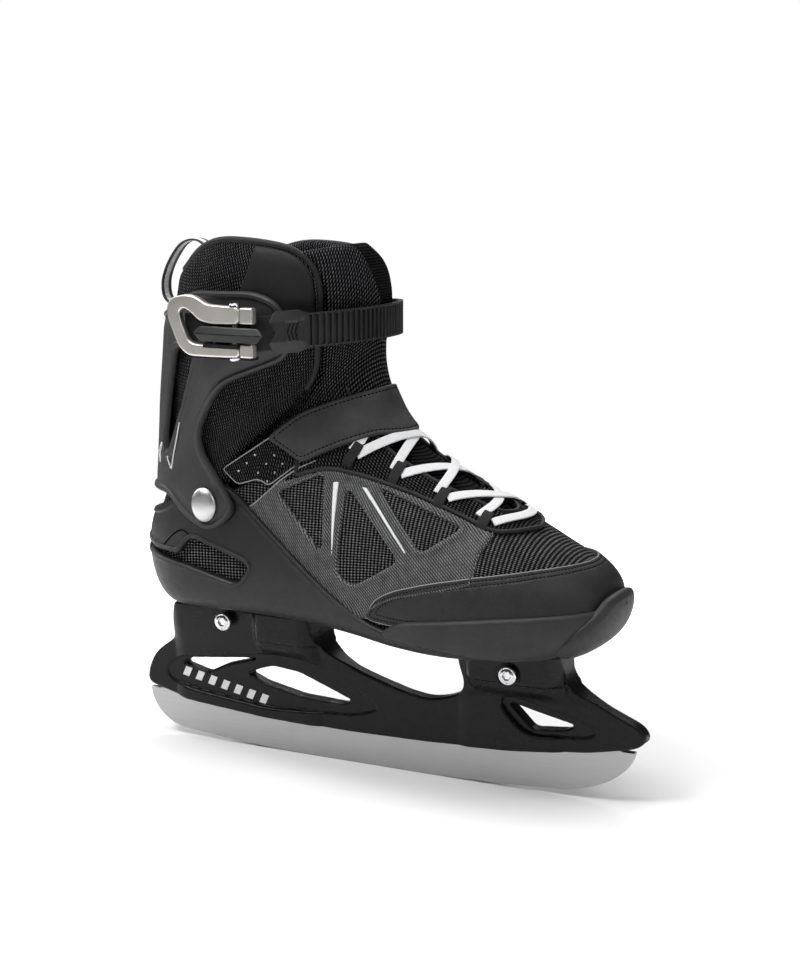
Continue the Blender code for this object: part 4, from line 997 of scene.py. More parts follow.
def make_cuff():
    """The hinged cuff, open at the front, with a window and thin white lines on each side."""
    front = on_view([(60, -36), (60, 36), (-30, 36), (-30, -36)], 4, (0, 1))
    field = inside_all(on_view(CUFF_OUTLINE, 7), outside(on_view(CUFF_OPENING, 4)), outside(front))
    skin = Skin(field, [(0, 5.4), (0.4, 7.2), (1.1, 8.0), (2.6, 8.1), (3.3, 7.3), (4.2, 7.1), (9, 7.6)], u=(6.5, TOP),
                step=2.2, at=6.3)
    settle(skin.solid("cuff_moulding", CUFF_PLASTIC, 4.8), CUFF, "cuff", "cuff")
    for name, side, t in SIDES:
        for k, outline in enumerate(CUFF_ACCENTS):
            accent = Skin(inside_all(on_view(outline, 0.3), half_space(side, 3.0)), [(0, 7.6), (1, 7.6)],
                          u=(12, 17), t=t, step=1.0, at=7.6, levels=(0.3,))
            settle(piping(f"cuff_accent_{k + 1}_{name}", accent.lines(0.3), WHITE_TRIM, 0.36, 1.0), CUFF, "cuff")


def soft_inner(thick, lip):
    """The inner face of a padded piece: thick away from its edges, rolled round them."""
    return lambda skin: np.interp(skin.values, [0, 0.8, 2.0, 4.0, 7.0],
                                  [-lip, -lip - 0.45 * (thick - lip), -lip - 0.75 * (thick - lip),
                                   -lip - 0.93 * (thick - lip), -thick])


ROLL = [(0, -4.4), (0.5, -2.6), (1.2, -1.2), (2.2, -0.2), (3.6, 0.7), (5.5, 1.3), (8.5, 1.7), (14, 1.9)]


def tuck(p):
    """The padding dives behind the upper below its top edge."""
    line = np.interp(p[:, 0], [x for x, _ in UPPER_TOP], [z for _, z in UPPER_TOP])
    return -6.3 * np.clip((line + 2.0 - p[:, 2]) / 5.0, 0, 1)**0.7


def tilted(field, rise):
    """A field whose outline stands higher on the outer side and lower on the inner one."""
    return lambda p, n: field(p + np.array([0.0, 0.0, rise / 45]) * p[:, 1:2], n)


def make_collar():
    """The padded collar: mesh, a binding round its open edges and a smooth panel on each side."""
    outline = [*COLLAR_FRONT, (-62, 172), (-72, 144), (-160, 140), (-160, 262), *COLLAR_RIM]
    field = tilted(on_view(outline, 7), 3.2)
    skin = Skin(field, ROLL, u=(8, TOP + 0.7), step=2.2, at=0.0, levels=(1.6,),
                swell=lambda p, d: tuck(p) + (0.5 * wave(p, 46, 2) + 0.25 * wave(p, 21, 5)) * np.clip(d / 6, 0, 1))
    pad = skin.solid("collar_padding", COLLAR_MESH, soft_inner(9.4, 4.9))
    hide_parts("ankle_collar", "ankle_gusset")
    bend(pad)
    line, ups = max(skin.lines(1.6), key=lambda run: len(run[0]))
    start = int(np.argmin(line[:, 2]))
    line, ups = (np.concatenate([rows[start:-1], rows[:start]]) for rows in (line, ups))
    high = line[:, 2] > 214
    binding = face_outwards(piping("collar_binding", [(line[high], ups[high])], NEOPRENE, 2.0, 2.0, 0.1))
    bend(binding)
    for name, side, t in SIDES:
        panel_field = inside_all(on_view(SOFT_PANEL, 3), half_space(side, 8), lambda p, n: field(p, n) - 3.4)
        panel = Skin(panel_field, [(0, -0.2), (0.4, 0.35), (1.0, 0.75), (3, 1.2), (7, 1.6)], u=(13, TOP + 0.5), t=t,
                     step=2.0, at=1.5, swell=follow(field, ROLL))
        obj = panel.solid(f"collar_panel_{name}", NEOPRENE, lambda s: s.lift - 1.2)
        bend(obj)


def follow(field, profile):
    """Lifts a piece onto the padding under it. The normals are sideways ones, near enough for its upright part."""
    centre = np.array([-56.0, 0.0, 0.0])
    return lambda p, d: np.interp(field(p, unit((p - centre) * np.array([1.0, 1.0, 0.0]))), *np.array(profile).T)


def bend(obj):
    """Bakes the transform of fabric that crosses the ankle into its mesh."""
    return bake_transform(obj)


TONGUE_ROLL = [(0, -3.6), (0.5, -1.9), (1.2, -0.8), (2.4, 0.1), (4, 0.7), (7, 1.1), (12, 1.4)]


def make_tongue():
    """The padded tongue, from the throat to the collar's rim, with a mesh panel on its upper part."""
    front = [(x + 0.7, z) for x, z in COLLAR_FRONT]
    upper_part = on_view([*front, (-34, 184), (0, 190), (40, 205), (40, 288), (2, 292.5)], 5)
    upper_part = inside_all(upper_part, on_view([(-70, 300), (-10, 298), (6, 287.5), (17, 279.5), (26, 266), (31, 248),
                                                 (34, 150), (-70, 150)], 10, (1, 2)))
    throat = inside_all(on_view([(x - 0.7, y * 0.965) for x, y in mirrored(THROAT)], 5, (0, 1)),
                        on_view([(-20, 120), (120, 120), (120, 215), (-20, 215)], 0))
    skin = Skin(any_of(upper_part, throat), TONGUE_ROLL, u=(2.4, TOP + 0.7), step=2.2, at=0.0,
                swell=lambda p, d: -1.2 * np.clip((206 - p[:, 2]) / 12, 0, 1) + 0.3 * wave(p, 34, 3))
    pad = skin.solid("tongue_padding", SOFT_MESH, soft_inner(8.0, 4.4))
    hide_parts("tongue_lower", "tongue_upper")
    bend(pad)
    mesh_field = inside_all(upper_part, on_view([(-60, 296), (-15, 291), (-3, 262), (9, 236), (14, 205), (14, 190),
                                                 (-60, 190)], 6, (1, 2)))
    mesh = Skin(mesh_field, [(0, 0.0), (0.4, 0.45), (1.0, 0.7), (3, 0.9)], u=(8, TOP + 0.5), step=2.0, at=1.0,
                swell=follow(upper_part, TONGUE_ROLL))
    obj = mesh.solid("tongue_mesh", COLLAR_MESH, lambda s: s.lift - 1.0)
    bend(obj)


def make_instep_strap():
    """The strap over the instep, stitched along its edge."""
    skin = Skin(on_view(STRAP_OUTLINE, 3.5), [(0, 2.9), (0.35, 4.1), (0.9, 4.6), (2.1, 4.6), (2.5, 4.3), (2.9, 4.6),
                (5.0, 4.7)], u=(3.5, 16.5), step=1.8, at=3.5, levels=(0.9,))
    strap = skin.solid("instep_strap_band", STRAP_LEATHER, 2.5)
    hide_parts("instep_strap", "instep_strap_end")
    seams = stitches("instep_strap_stitching", skin.lines(2.5), THREAD, 2.3, 1.5, 0.7, 0.0)
    for piece in (strap, seams):
        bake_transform(piece)


FOLD_DIRECTION = np.array([-0.436, -0.836, 0.145])
FOLD_DIRECTION /= np.linalg.norm(FOLD_DIRECTION)


EYELET_RADIUS, EYELET_LIFT, EYELET_SIDES = 0.6, 1.35, 10


def eyelets(name, places):
    """Small domed studs on the boot."""
    points, faces, count = [], [], EYELET_SIDES
    for u, t in places:
        (centre,), (n,) = on_boot(u, t, EYELET_LIFT)
        side = np.cross(n, [0.0, 0.0, 1.0])
        side /= np.linalg.norm(side)
        up = np.cross(n, side)
        base = len(points)
        for ring, (r, h) in enumerate(((1.0, -0.3), (1.0, 0.15), (0.6, 0.38))):
            for k in range(count):
                a = TAU * k / count
                points.append(centre + EYELET_RADIUS * r * (side * math.cos(a) + up * math.sin(a)) + n * h)
            if ring:
                faces += band(count, base + count * (ring - 1), base + count * ring)
        faces += [tuple(base + 2 * count + k for k in range(count)), tuple(base + k for k in reversed(range(count)))]
    return face_outwards(make_object(name, points, faces, SATIN))


def make_strap_patches():
    """The strap's landing patch: perforated cloth with a pale edge and small bright eyelets."""
    for name, side, t in SIDES:
        skin = Skin(inside_all(on_view(STRAP_PATCH_OUTLINE, 3), half_space(side, 4)),
                    [(0, 0.5), (0.3, 1.2), (0.8, 1.5), (1.6, 1.5), (2.0, 1.3)], u=(7, 15), t=t, step=1.6, at=1.2,
                    levels=(0.8,))
        node = f"strap_patch_{name}"
        settle(skin.solid(f"landing_patch_{name}", WINDOW_MESH, 0.3), BOOT, node, node)
        settle(piping(f"landing_patch_edge_{name}", skin.lines(0.8, 0.1), GREY_EDGE, 0.3), BOOT, node)
        places = [(station, first + EYELET_PITCH * k) for station, first in PATCH_EYELETS for k in range(3)]
        places = [(station, share if side < 0 else 1 - share) for station, share in places]
        settle(eyelets(f"landing_patch_eyelets_{name}", places), BOOT, node)
        cord = edge_cord(f"quarter_edge_cord_{name}", PANEL_EDGE_LINE, side, 1.5, ellipse(0.75, 0.75, 8), GREY_EDGE)
        settle(cord, BOOT, f"side_panel_{name}")


make_upper()
make_eyestay()
make_panels()
make_toe()
make_shell()
make_cuff()
make_collar()
make_tongue()
make_instep_strap()
make_strap_patches()


# ---------------------------------------------------------------- blade assembly

RUNNER_THICKNESS = 3.9
RUNNER_TOP = [(158, 31), (133, 25.5), (87, 20.5), (39, 18), (-12, 17), (-64, 18), (-118, 22), (-145, 28)]
HOLDER_OUTLINE = [
    (160, 32.4), (165.6, 37.8), (161.5, 44), (150, 48.6), (136, 54.5), (125, 59.6), (120.5, 66), (118.5, 76),
    (117.8, 80), (58, 80), (58.5, 73), (62.5, 58), (59, 50.5), (49, 46), (38, 44), (24, 46), (6, 51), (-7, 55),
    (-20, 61), (-28.5, 69), (-31, 80),
    (-32, 84), (-120.5, 84), (-122.5, 76), (-124, 68), (-125, 59), (-134, 53.5), (-141, 47), (-145, 38), (-145.6, 29.8),
    (-118, 23), (-64, 19), (-12, 18), (39, 19), (87, 21.5), (133, 26.5)]
HOLDER_WINDOWS = [[(-121, 44.2), (-116, 48), (-70, 53.4), (-92, 47), (-105, 40.3)],
                  [(-77, 43.5), (-68, 47.5), (-60, 49.8), (-43, 48.2), (-27, 42.6), (-9.5, 36.4), (-14, 33.6),
                   (-42, 34.6), (-66, 39.2)],
                  [(86, 49), (99.5, 45.8), (125, 40.6), (120, 37.4), (100.5, 35.4)]]
HOLDER_RECESSES = [[(-132, 41), (-122, 49), (-62, 57.5), (-41, 57.2), (-14, 48.6), (4, 37.5), (8, 33), (-8, 28.4),
                    (-62, 25.2), (-112, 30), (-130, 34)],
                   [(81, 49), (88, 53), (112, 48), (138, 40), (134, 35), (100, 32), (90, 38)]]
REAR_BOLT, FRONT_BOLT = (-84.0, 76.5), (92.0, 67.5)
HOLDER_HALF, PANEL_HALF, LEDGE_HALF = 6.5, 13.6, 17.4  # half widths: low down, on a tower and at its top
CORNER_RUN = 9.0  # how far from a tower's end its side begins to turn in


def ease(v):
    v = np.clip(v, 0, 1)
    return v * v * (3 - 2 * v)


def tower_half(x, z, start, end, leg, ledge, foot, taper):
    """How far a tower's side stands out: a flat grained panel over a ledge, with a slimmer leg at one end."""
    panel = (HOLDER_HALF + (PANEL_HALF - HOLDER_HALF) * ease((z - foot) / (ledge - foot))
             + (LEDGE_HALF - PANEL_HALF) * ease((z - ledge) / 2.2))
    slim = HOLDER_HALF + 7.6 * ease((z - foot + 8) / 32)
    low, high = min(leg), max(leg)
    share = ease((x - low) / (high - low)) if leg[0] > leg[1] else ease((high - x) / (high - low))
    near = np.minimum(x - start, end - x)
    corner = 1 - 0.35 * np.clip(1 - near / CORNER_RUN, 0, 1)**2
    front = np.clip(1 - np.abs(x - end) / CORNER_RUN, 0, 1)**2 * ease((z - 50.0) / 8.0)
    return (slim + (panel - slim) * share) * np.where(near < CORNER_RUN, corner * (1 - taper * front), 1)


def holder_solid(x, y, z):
    side = np.abs(y)
    outline, _, _ = outline_distance(x, z, HOLDER_SHAPE)
    rear = tower_half(x, z, -125.0, -28.0, (-62.0, -68.0), 65.5, 54.0, 0.0)
    front = tower_half(x, z, 57.0, 119.5, (70.0, 64.0), 61.0, 50.5, 0.3)
    half = np.where(x < 15, rear, front)
    body = slab(outline, side - half, 1.3)
    for shape in HOLDER_RECESS_SHAPES:
        d, _, _ = outline_distance(x, z, shape)
        body = smooth_max(body, -np.maximum(-d, 3.7 - side), 1.2)
    for shape in HOLDER_WINDOW_SHAPES:
        d, _, _ = outline_distance(x, z, shape)
        body = smooth_max(body, d, 0.8)
    for bx, bz in (REAR_BOLT, FRONT_BOLT):
        body = smooth_max(body, -np.maximum(rod(x - bx, z - bz, 6.6), 16.9 - side), 0.5)
    groove = np.maximum(side - RUNNER_THICKNESS / 2 - 0.15, z - np.interp(x, *RUNNER_LINE) - 6.0)
    return np.maximum(body, -groove)


HOLDER_SHAPE = rounded(HOLDER_OUTLINE, 5.0, 5)
HOLDER_RECESS_SHAPES = [rounded(p, 7.0, 5) for p in HOLDER_RECESSES]
HOLDER_WINDOW_SHAPES = [rounded(p, 2.6, 5) for p in HOLDER_WINDOWS]
RUNNER_LINE = np.array(RUNNER_TOP[::-1], float).T


def make_holder():
    holder = moulded("blade_holder_moulding", holder_solid, (-148, -20, 14), (170, 20, 86), 0.95, HOLDER_PLASTIC)
    settle(holder, BOOT, "blade_holder", "blade_holder")
    bars, first, half = [], -121, 2.8
    for side in (-1, 1):
        for k in range(7):
            x = first + 8.6 * k
            z = 40.2 - 0.19 * (x - first)
            quad = [(x, z - half), (x + 4.2, z - half - 0.8), (x + 6.6, z + half - 1.2), (x + 2.4, z + half - 0.4)]
            bars.append(flat_mark(f"bar_{side}_{k}", quad, side * 3.95, side * 0.22))
    settle(join("holder_marks", bars), BOOT, "shoe_lace")


def flat_mark(name, outline, y, thick):
    """A thin printed patch on a flat side."""
    n = len(outline)
    points = [(a, y, b) for a, b in outline] + [(a, y + thick, b) for a, b in outline]
    faces = [tuple(range(n)), tuple(range(2 * n - 1, n - 1, -1))]
    faces += [(k, k + n, (k + 1) % n + n, (k + 1) % n) for k in range(n)]
    return face_outwards(make_object(name, points, faces, WHITE_TRIM))


def runner_outline():
    """Flat in the middle, long rocker arcs, rounded ends; then the tang that sits in the holder."""
    front = [(x, (x - 34) ** 2 / 1700) for x in np.linspace(34, 105, 16)]
    nose = [(105 + 53 * math.sin(a), 3.0 + 28.8 * (1 - math.cos(a))) for a in np.linspace(0.12, 1.5, 22)]
    heel = [(-118 - 27 * math.sin(a), 4.2 + 24 * (1 - math.cos(a))) for a in np.linspace(1.5, 0.1, 20)]
    rear = [(x, (x + 34) ** 2 / 1700) for x in np.linspace(-118, -34, 16)]
    xs = np.linspace(152, -139, 50)
    tang = [(x, np.interp(x, *RUNNER_LINE) + 3.0 * min(1.0, (x + 139) / 8, (152 - x) / 8)) for x in xs]
    return front + nose + tang + heel + rear


def make_runner():
    """The steel: flat ground sides, a fine chamfer all round and a bright hollow-ground edge."""
    outline = np.array(runner_outline())
    along = np.roll(outline, -1, 0) - np.roll(outline, 1, 0)
    along /= np.linalg.norm(along, axis=1, keepdims=True)
    inward = np.stack([-along[:, 1], along[:, 0]], 1)
    half = RUNNER_THICKNESS / 2
    rings = [(0.9, -half), (0.45, -half + 0.02), (0.0, -half + 0.45), (0.12, 0.0), (0.0, half - 0.45),
             (0.45, half - 0.02), (0.9, half)]
    points, faces, n = [], [], len(outline)
    for inset, y in rings:
        points += [(a, y, b) for a, b in outline + inward * inset]
    for r in range(len(rings) - 1):
        faces += band(n, r * n, (r + 1) * n)
    faces += [tuple(range(n)), tuple(range(len(points) - 1, len(points) - n - 1, -1))]
    runner = face_outwards(make_object("steel_runner", points, faces, STEEL, sharp=30), lambda bm:
                           bmesh.ops.triangulate(bm, faces=[f for f in bm.faces if len(f.verts) > 4]))
    settle(runner, BOOT, "runner_blade", "runner_blade")


def bolt_head(side, seat, radius, tall, shank_end):
    """A domed cap with a hexagon socket and its shank, along Y."""
    def solid(x, y, z):
        r = np.sqrt(x * x + z * z)
        h = side * y
        cap = np.maximum(np.maximum(r - radius, seat - h), np.sqrt(r * r + (h - seat + 7.5)**2) - 7.5 - tall)
        hexagon = np.maximum(np.abs(x) * 0.866 + np.abs(z) * 0.5, np.abs(z)) - 2.1
        cap = smooth_max(cap, -np.maximum(hexagon, seat + tall - 1.5 - h), 0.25)
        groove = np.abs(r - radius + 1.1) - 0.16
        cap = smooth_max(cap, -np.maximum(groove, seat + tall - 1.2 - h), 0.2)
        shank = np.maximum(r - 2.4, np.maximum(-h + shank_end, h - seat - 0.4))
        return np.minimum(cap, shank)
    return solid


def make_bolts():
    """The towers' cross bolts: a cap on each side."""
    for place, (x, z) in (("rear", REAR_BOLT), ("front", FRONT_BOLT)):
        for kind, side in (("bolt", -1), ("nut", 1)):
            solid = bolt_head(side, 17.6, 5.1, 2.9, 12.0)
            low, high = sorted((side * 11.0, side * 21.5))
            obj = moulded(f"{place}_{kind}_cap", lambda a, b, c: solid(a - x, b, c - z), (x - 6, low, z - 6),
                          (x + 6, high, z + 6), 0.32, BRIGHT)
            settle(obj, BOOT, f"{place}_tower_{kind}", f"{place}_tower_{kind}")


# ---------------------------------------------------------------- ankle pivots

PIVOT = (-78.0, 149.0)


def make_pivots():
    """Domed rivets with a rolled rim, over a plastic bush."""
    for name, axis in (("outer", "-Y"), ("inner", "Y")):
        low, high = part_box(f"cuff_rivet_{name}")
        seat = (max(abs(low.y), abs(high.y)) / MM) - 3.0
        dome = [(9.0 * math.sin(a), seat + 0.7 + 2.7 * math.cos(a)) for a in np.linspace(0.1, 1.45, 14)]
        profile = [(0, seat + 3.4), *dome, (9.35, seat + 0.7), (9.35, seat), (4.0, seat), (4.0, seat - 6.5),
                   (0, seat - 6.5)]
        obj = turned(f"ankle_rivet_{name}", profile, axis, (PIVOT[0], 0, PIVOT[1]), SATIN, 56)
        for vertex in obj.data.vertices:  # the heads are narrower than they are tall
            vertex.co.x = (PIVOT[0] + (vertex.co.x / MM - PIVOT[0]) * 0.82) * MM
        settle(obj, BOOT, f"cuff_rivet_{name}", f"cuff_rivet_{name}")
        profile = [(0, seat - 0.2), (7.6, seat - 0.2), (8.0, seat - 0.6), (8.0, seat - 1.6), (7.0, seat - 2.0),
                   (0, seat - 2.0)]
        washer = turned(f"ankle_washer_{name}", profile, axis, (PIVOT[0], 0, PIVOT[1]), BUCKLE_PLASTIC)
        settle(washer, BOOT, f"cuff_bush_{name}")


# ---------------------------------------------------------------- ratchet buckle and ladder strap

LADDER_Z = 243.4
LADDER_SLOPE = math.tan(math.radians(4.6))
BUCKLE_PIN_X, PIN_Y = -44.0, -65.5


def ladder_plan(angle, extra):
    """The strap's course seen from above: an oval round the collar."""
    c, s = np.cos(angle), np.sin(angle)
    power = 2 / 2.3
    return (-57.5 + (67.0 + extra) * np.sign(c) * np.abs(c)**power, (58.5 + extra) * np.sign(s) * np.abs(s)**power)


LADDER_ANGLES = np.radians(np.linspace(-84, 74.5, 900))
LADDER_RUN = np.concatenate([[0], np.cumsum(np.hypot(*np.diff(ladder_plan(LADDER_ANGLES, 2.0), axis=1)))])


def ladder_from_x(x):
    """How far along the strap it reaches x, on the outer side."""
    side = LADDER_ANGLES < 0
    return float(np.interp(x, ladder_plan(LADDER_ANGLES[side], 2.0)[0], LADDER_RUN[side]))


def make_ladder_strap():
    """A moulded strap: plain tail under the lever, faceted head with chevrons, then ribs between two rails."""
    head0, head1, ribs0 = (ladder_from_x(x) for x in (-28.4, -12.0, -9.5))
    ribs1 = float(np.interp(math.radians(50.0), LADDER_ANGLES, LADDER_RUN))
    s = np.unique(np.concatenate([np.linspace(0, head0, 14), np.linspace(head0, head1, 70),
                                  np.linspace(head1, LADDER_RUN[-1], 560)]))
    w = np.concatenate([np.linspace(-1, -0.86, 5), np.linspace(-0.82, 0.82, 27), np.linspace(0.86, 1, 5)])
    ss, ww = np.meshgrid(s, w, indexing="ij")
    head = ease((ss - head0 + 1.0) / 1.5) * (1 - ease((ss - head1 + 4) / 8))
    half = 9.0 + 2.1 * head - 0.6 * (1 - ease((ss - 2) / 10))
    wide = ww * half
    in_ribs = (ss > ribs0) & (ss < ribs1)
    pitch = (ribs1 - ribs0) / 31
    phase = ((ss - ribs0) / pitch) % 1.0
    rib = ease((0.30 - np.abs(phase - 0.5)) / 0.12)
    rail = ease((np.abs(ww) - 0.86) / 0.05)
    height = np.where(in_ribs, 1.15 + 1.35 * np.maximum(rib, rail), 2.2)
    facet = np.clip((np.abs(wide) - 5.2) / 6.0, 0, 1)
    head_height = 4.3 - 2.0 * facet
    pad = ((ss > head0 + 8.2) & (ss < head1 - 3.5) & (np.abs(wide) < 5.6))
    chevron = np.zeros_like(ss)
    for k in range(3):
        line = head0 + 9.6 + 1.9 * k + 1.1 * np.abs(wide) / 4.0
        chevron = np.maximum(chevron, ease((0.42 - np.abs(ss - line)) / 0.25) * (np.abs(wide) < 4.3))
    head_height = head_height + 0.35 * pad - 0.8 * chevron
    height = height * (1 - head) + head_height * head
    notch = (ss >= head0 - 1e-6) & (ss < head1)
    cut = 3.2 * np.clip(1 - np.abs(ww) / 0.42, 0, 1) + 2.6 * np.clip((np.abs(ww) - 0.55) / 0.45, 0, 1)
    run = np.where(notch, ss + cut * (1 - ease((ss - head0) / 9.0)), ss)
    low_tail = ss < head0
    run = np.where(low_tail, ss * (head0 + 3.0) / head0, run)
    height = np.where(low_tail, 1.9, height)
    angle = np.interp(run, LADDER_RUN, LADDER_ANGLES)
    rows, cols = ss.shape
    sheets = []
    for extra in (np.zeros_like(ss), height):
        x, y = ladder_plan(angle, extra)
        z = LADDER_Z + 1.6 + (x - BUCKLE_PIN_X) * LADDER_SLOPE + wide
        sheets.append(np.stack([x, y, z], 2).reshape(-1, 3))
    n = rows * cols
    grid = lambda i, j: i * cols + j
    faces = []
    for i in range(rows - 1):
        for j in range(cols - 1):
            a, b, c, d = grid(i, j), grid(i + 1, j), grid(i + 1, j + 1), grid(i, j + 1)
            faces += [(a, d, c, b), (a + n, b + n, c + n, d + n)]
        for j in (0, cols - 1):
            a, b = grid(i, j), grid(i + 1, j)
            faces.append((a, b, b + n, a + n) if j == 0 else (b, a, a + n, b + n))
    for i in (0, rows - 1):
        for j in range(cols - 1):
            a, b = grid(i, j), grid(i, j + 1)
            faces.append((b, a, a + n, b + n) if i == 0 else (a, b, b + n, a + n))
    strap = make_object("ratchet_ladder_strap", np.concatenate(sheets), faces, STRAP_PLASTIC, sharp=38)
    settle(face_outwards(strap), "ladder_body", "ladder_strap", "ladder_strap")


LEVER_OUTLINE = [
    (-84.6, 16.4), (-80.9, 20.6), (-72.7, 22.2), (-66.3, 21.2), (-60.1, 17.4), (-40.0, 16.6), (-40.0, 7.6),
    (-56.7, 6.9), (-64.8, 8.6), (-70.1, 13.4), (-74.6, 15.2), (-77.2, 11.7), (-75.0, 5.6), (-71.2, -2.4),
    (-66.9, -3.8), (-51.6, -3.6), (-40.0, -2.8), (-40.0, -9.9), (-64.3, -10.2), (-71.8, -10.0), (-77.6, -5.3),
    (-83.8, 9.0)]
ARM_ENDS = {"upper": (7.8, 16.4), "lower": (-9.7, -2.7)}
ARM_END_X = -32.0


def make_buckle():
    """The ratchet buckle: a cast lever, the release pawl's bar, the arms' still ends and the axle."""
    shape = rounded([(x, LADDER_Z + z) for x, z in LEVER_OUTLINE], 3.4, 6)

    def lever_solid(x, y, z):
        d, _, _ = outline_distance(x, z, shape)
        body = slab(d, np.abs(y + 65.9) - 2.3, 1.0)
        return smooth_max(body, -rod(x - BUCKLE_PIN_X, y - PIN_Y, 1.6), 0.3)
    lever = moulded("buckle_lever_cast", lever_solid, (-87, -69.6, LADDER_Z - 12.5), (-38.5, -62.4, LADDER_Z + 24.5),
                    0.5, ALLOY)
    settle(lever, "lever_body", "buckle_lever", "buckle_lever")

    middle = LADDER_Z + 2.2
    bar = rounded([(-66.6, 0.6), (-63.2, 4.0), (-28.4, 4.0), (-24.4, 0), (-28.4, -4.0), (-63.2, -4.0)], 0.8, 4)

    def pawl_solid(x, y, z):
        z = z - middle
        d, _, _ = outline_distance(x, z, bar)
        face = -71.6 + 0.42 * np.abs(z) + 0.02 * (x + 48)**2 / 10
        ridge = slab(d, np.maximum(face - y, y + 67.9), 0.5)
        core = block(x, y, z, (-64, -69.2, -2.6), (-37.5, -67.2, 2.6), 0.4)
        tooth = block(x, y, z, (-47.2, -69.0, -2.6), (-40.2, -62.6, 2.6), 0.5)
        return np.minimum(smooth_min(ridge, core, 0.4), tooth)
    pawl = moulded("release_pawl_bar", pawl_solid, (-69, -73, middle - 5.5), (-22.5, -61.5, middle + 5.5), 0.42,
                   BUCKLE_PLASTIC)
    settle(pawl, "pawl_body", "release_pawl", "release_pawl")

    for end, (z0, z1) in ARM_ENDS.items():
        arm = (-39.8, -68.2, z0), (ARM_END_X, -63.3, z1), 0.9
        cheek = moulded(f"arm_end_{end}", lambda x, y, z: block(x, y, z - LADDER_Z, *arm),
                        (-41, -70, LADDER_Z + z0 - 1), (ARM_END_X + 2, -62, LADDER_Z + z1 + 1), 0.5, ALLOY)
        settle(cheek, CUFF, f"buckle_cheek_{end}", f"buckle_cheek_{end}")
        web = (-38.6, -65.6, z0 + 0.8), (-34.4, -61.5, z1 - 0.8), 0.8
        inner = moulded(f"cheek_{end}", lambda x, y, z: block(x, y, z - LADDER_Z, *web),
                        (-41, -67, LADDER_Z + z0), (-33, -60, LADDER_Z + z1), 0.5, BUCKLE_PLASTIC)
        settle(inner, CUFF, "buckle_base")
    high, low = 16.4, -9.8
    head = [(0, 2.2), (1.8, 2.2), (2.7, 1.6), (3.0, 0.9), (3.0, 0.0), (1.45, 0.0)]
    profile = [(r, high + h) for r, h in head] + [(r, low - h) for r, h in reversed(head)]
    pin = turned("buckle_axle", profile, "Z", (BUCKLE_PIN_X, PIN_Y, LADDER_Z), BRIGHT, 32)
    settle(pin, CUFF, "buckle_pin", "buckle_pin")


def dress_cad_nodes():
    """CAD solids whose shape is right keep it and get softened edges and a finish."""
    finishes = {"buckle_base": BUCKLE_PLASTIC, "buckle_rivet": BRIGHT, "pawl_stop_pin": BRIGHT,
                "strap_anchor": CUFF_PLASTIC, "strap_anchor_screw": BRIGHT, "cuff_bush_outer": BUCKLE_PLASTIC,
                "cuff_bush_inner": BUCKLE_PLASTIC}
    for node, finish in finishes.items():
        obj = NODES[node]
        obj.data.materials.clear()
        obj.data.materials.append(finish)
        if node in ("buckle_base", "strap_anchor"):
            soften = obj.modifiers.new("soften", "BEVEL")
            soften.width = 0.5 * MM
            soften.segments = 2
            soften.limit_method = "ANGLE"


# ---------------------------------------------------------------- lace, loops and pull loop

LACE_LOOPS = [(4.5, 0.083), (5.45, 0.079), (6.75, 0.087), (8.3, 0.108)]  # stations and shares of the way round
LACE_LOW = 2.3  # how high a strand's ends lie over the boot


def ribbon(name, start, end, high):
    """A flat strand of lace from place to place over the instep."""
    s = np.linspace(0, 1, 22)
    bow = np.sin(np.pi * s)
    share = start[1] + (end[1] - start[1]) * s
    station = start[0] + (end[0] - start[0]) * s - 0.38 * bow
    points, ups = on_boot(station, share, LACE_LOW + (high - LACE_LOW) * bow**0.6)
    return sweep(name, points, ups, ellipse(5.2, 1.15, 16, 0.45), LACE_WEAVE)


def make_lace():
    """One flat lace, crossing between its loops, each later strand over the earlier one."""
    strands = []
    for k in range(len(LACE_LOOPS) - 1):
        near, far = LACE_LOOPS[k], LACE_LOOPS[k + 1]
        for side in (1, -1):
            high = 3.9 if (side > 0) == (k % 2 == 0) else 2.8
            strands.append(ribbon(f"strand_{k}_{side}", (far[0] - 0.12, side * far[1]),
                                  (near[0] + 0.12, -side * near[1]), high))
    station, share = LACE_LOOPS[0]
    strands.append(ribbon("strand_toe", (station - 0.15, share), (station - 0.15, -share), 3.0))
    station, share = LACE_LOOPS[-1]
    for side in (1, -1):
        strands.append(ribbon(f"strand_top_{side}", (station + 0.1, side * share),
                              (station + 1.0, side * share * 0.25), 3.0))
    settle(face_outwards(join("white_lace", strands)), BOOT, "shoe_lace", "shoe_lace")


def make_lace_loops():
    """A webbing arch over the lace at each place, sewn to the eyestay."""
    for k, (station, share) in enumerate(LACE_LOOPS):
        for side, name in ((1, "outer"), (-1, "inner")):
            s = np.linspace(-1, 1, 17)
            lift = 1.3 + 2.1 * np.clip(1 - s**4, 0, 1)
            path, ups = on_boot(np.full(17, station), side * (share + 0.024 * s), lift)
            loop = sweep(f"webbing_loop_{k + 1}_{name}", path, ups, ellipse(5.6, 0.9, 12, 0.45), BLACK_WEBBING)
            settle(face_outwards(loop), BOOT, f"lace_loop_{k + 1}_{name}", f"lace_loop_{k + 1}_{name}")


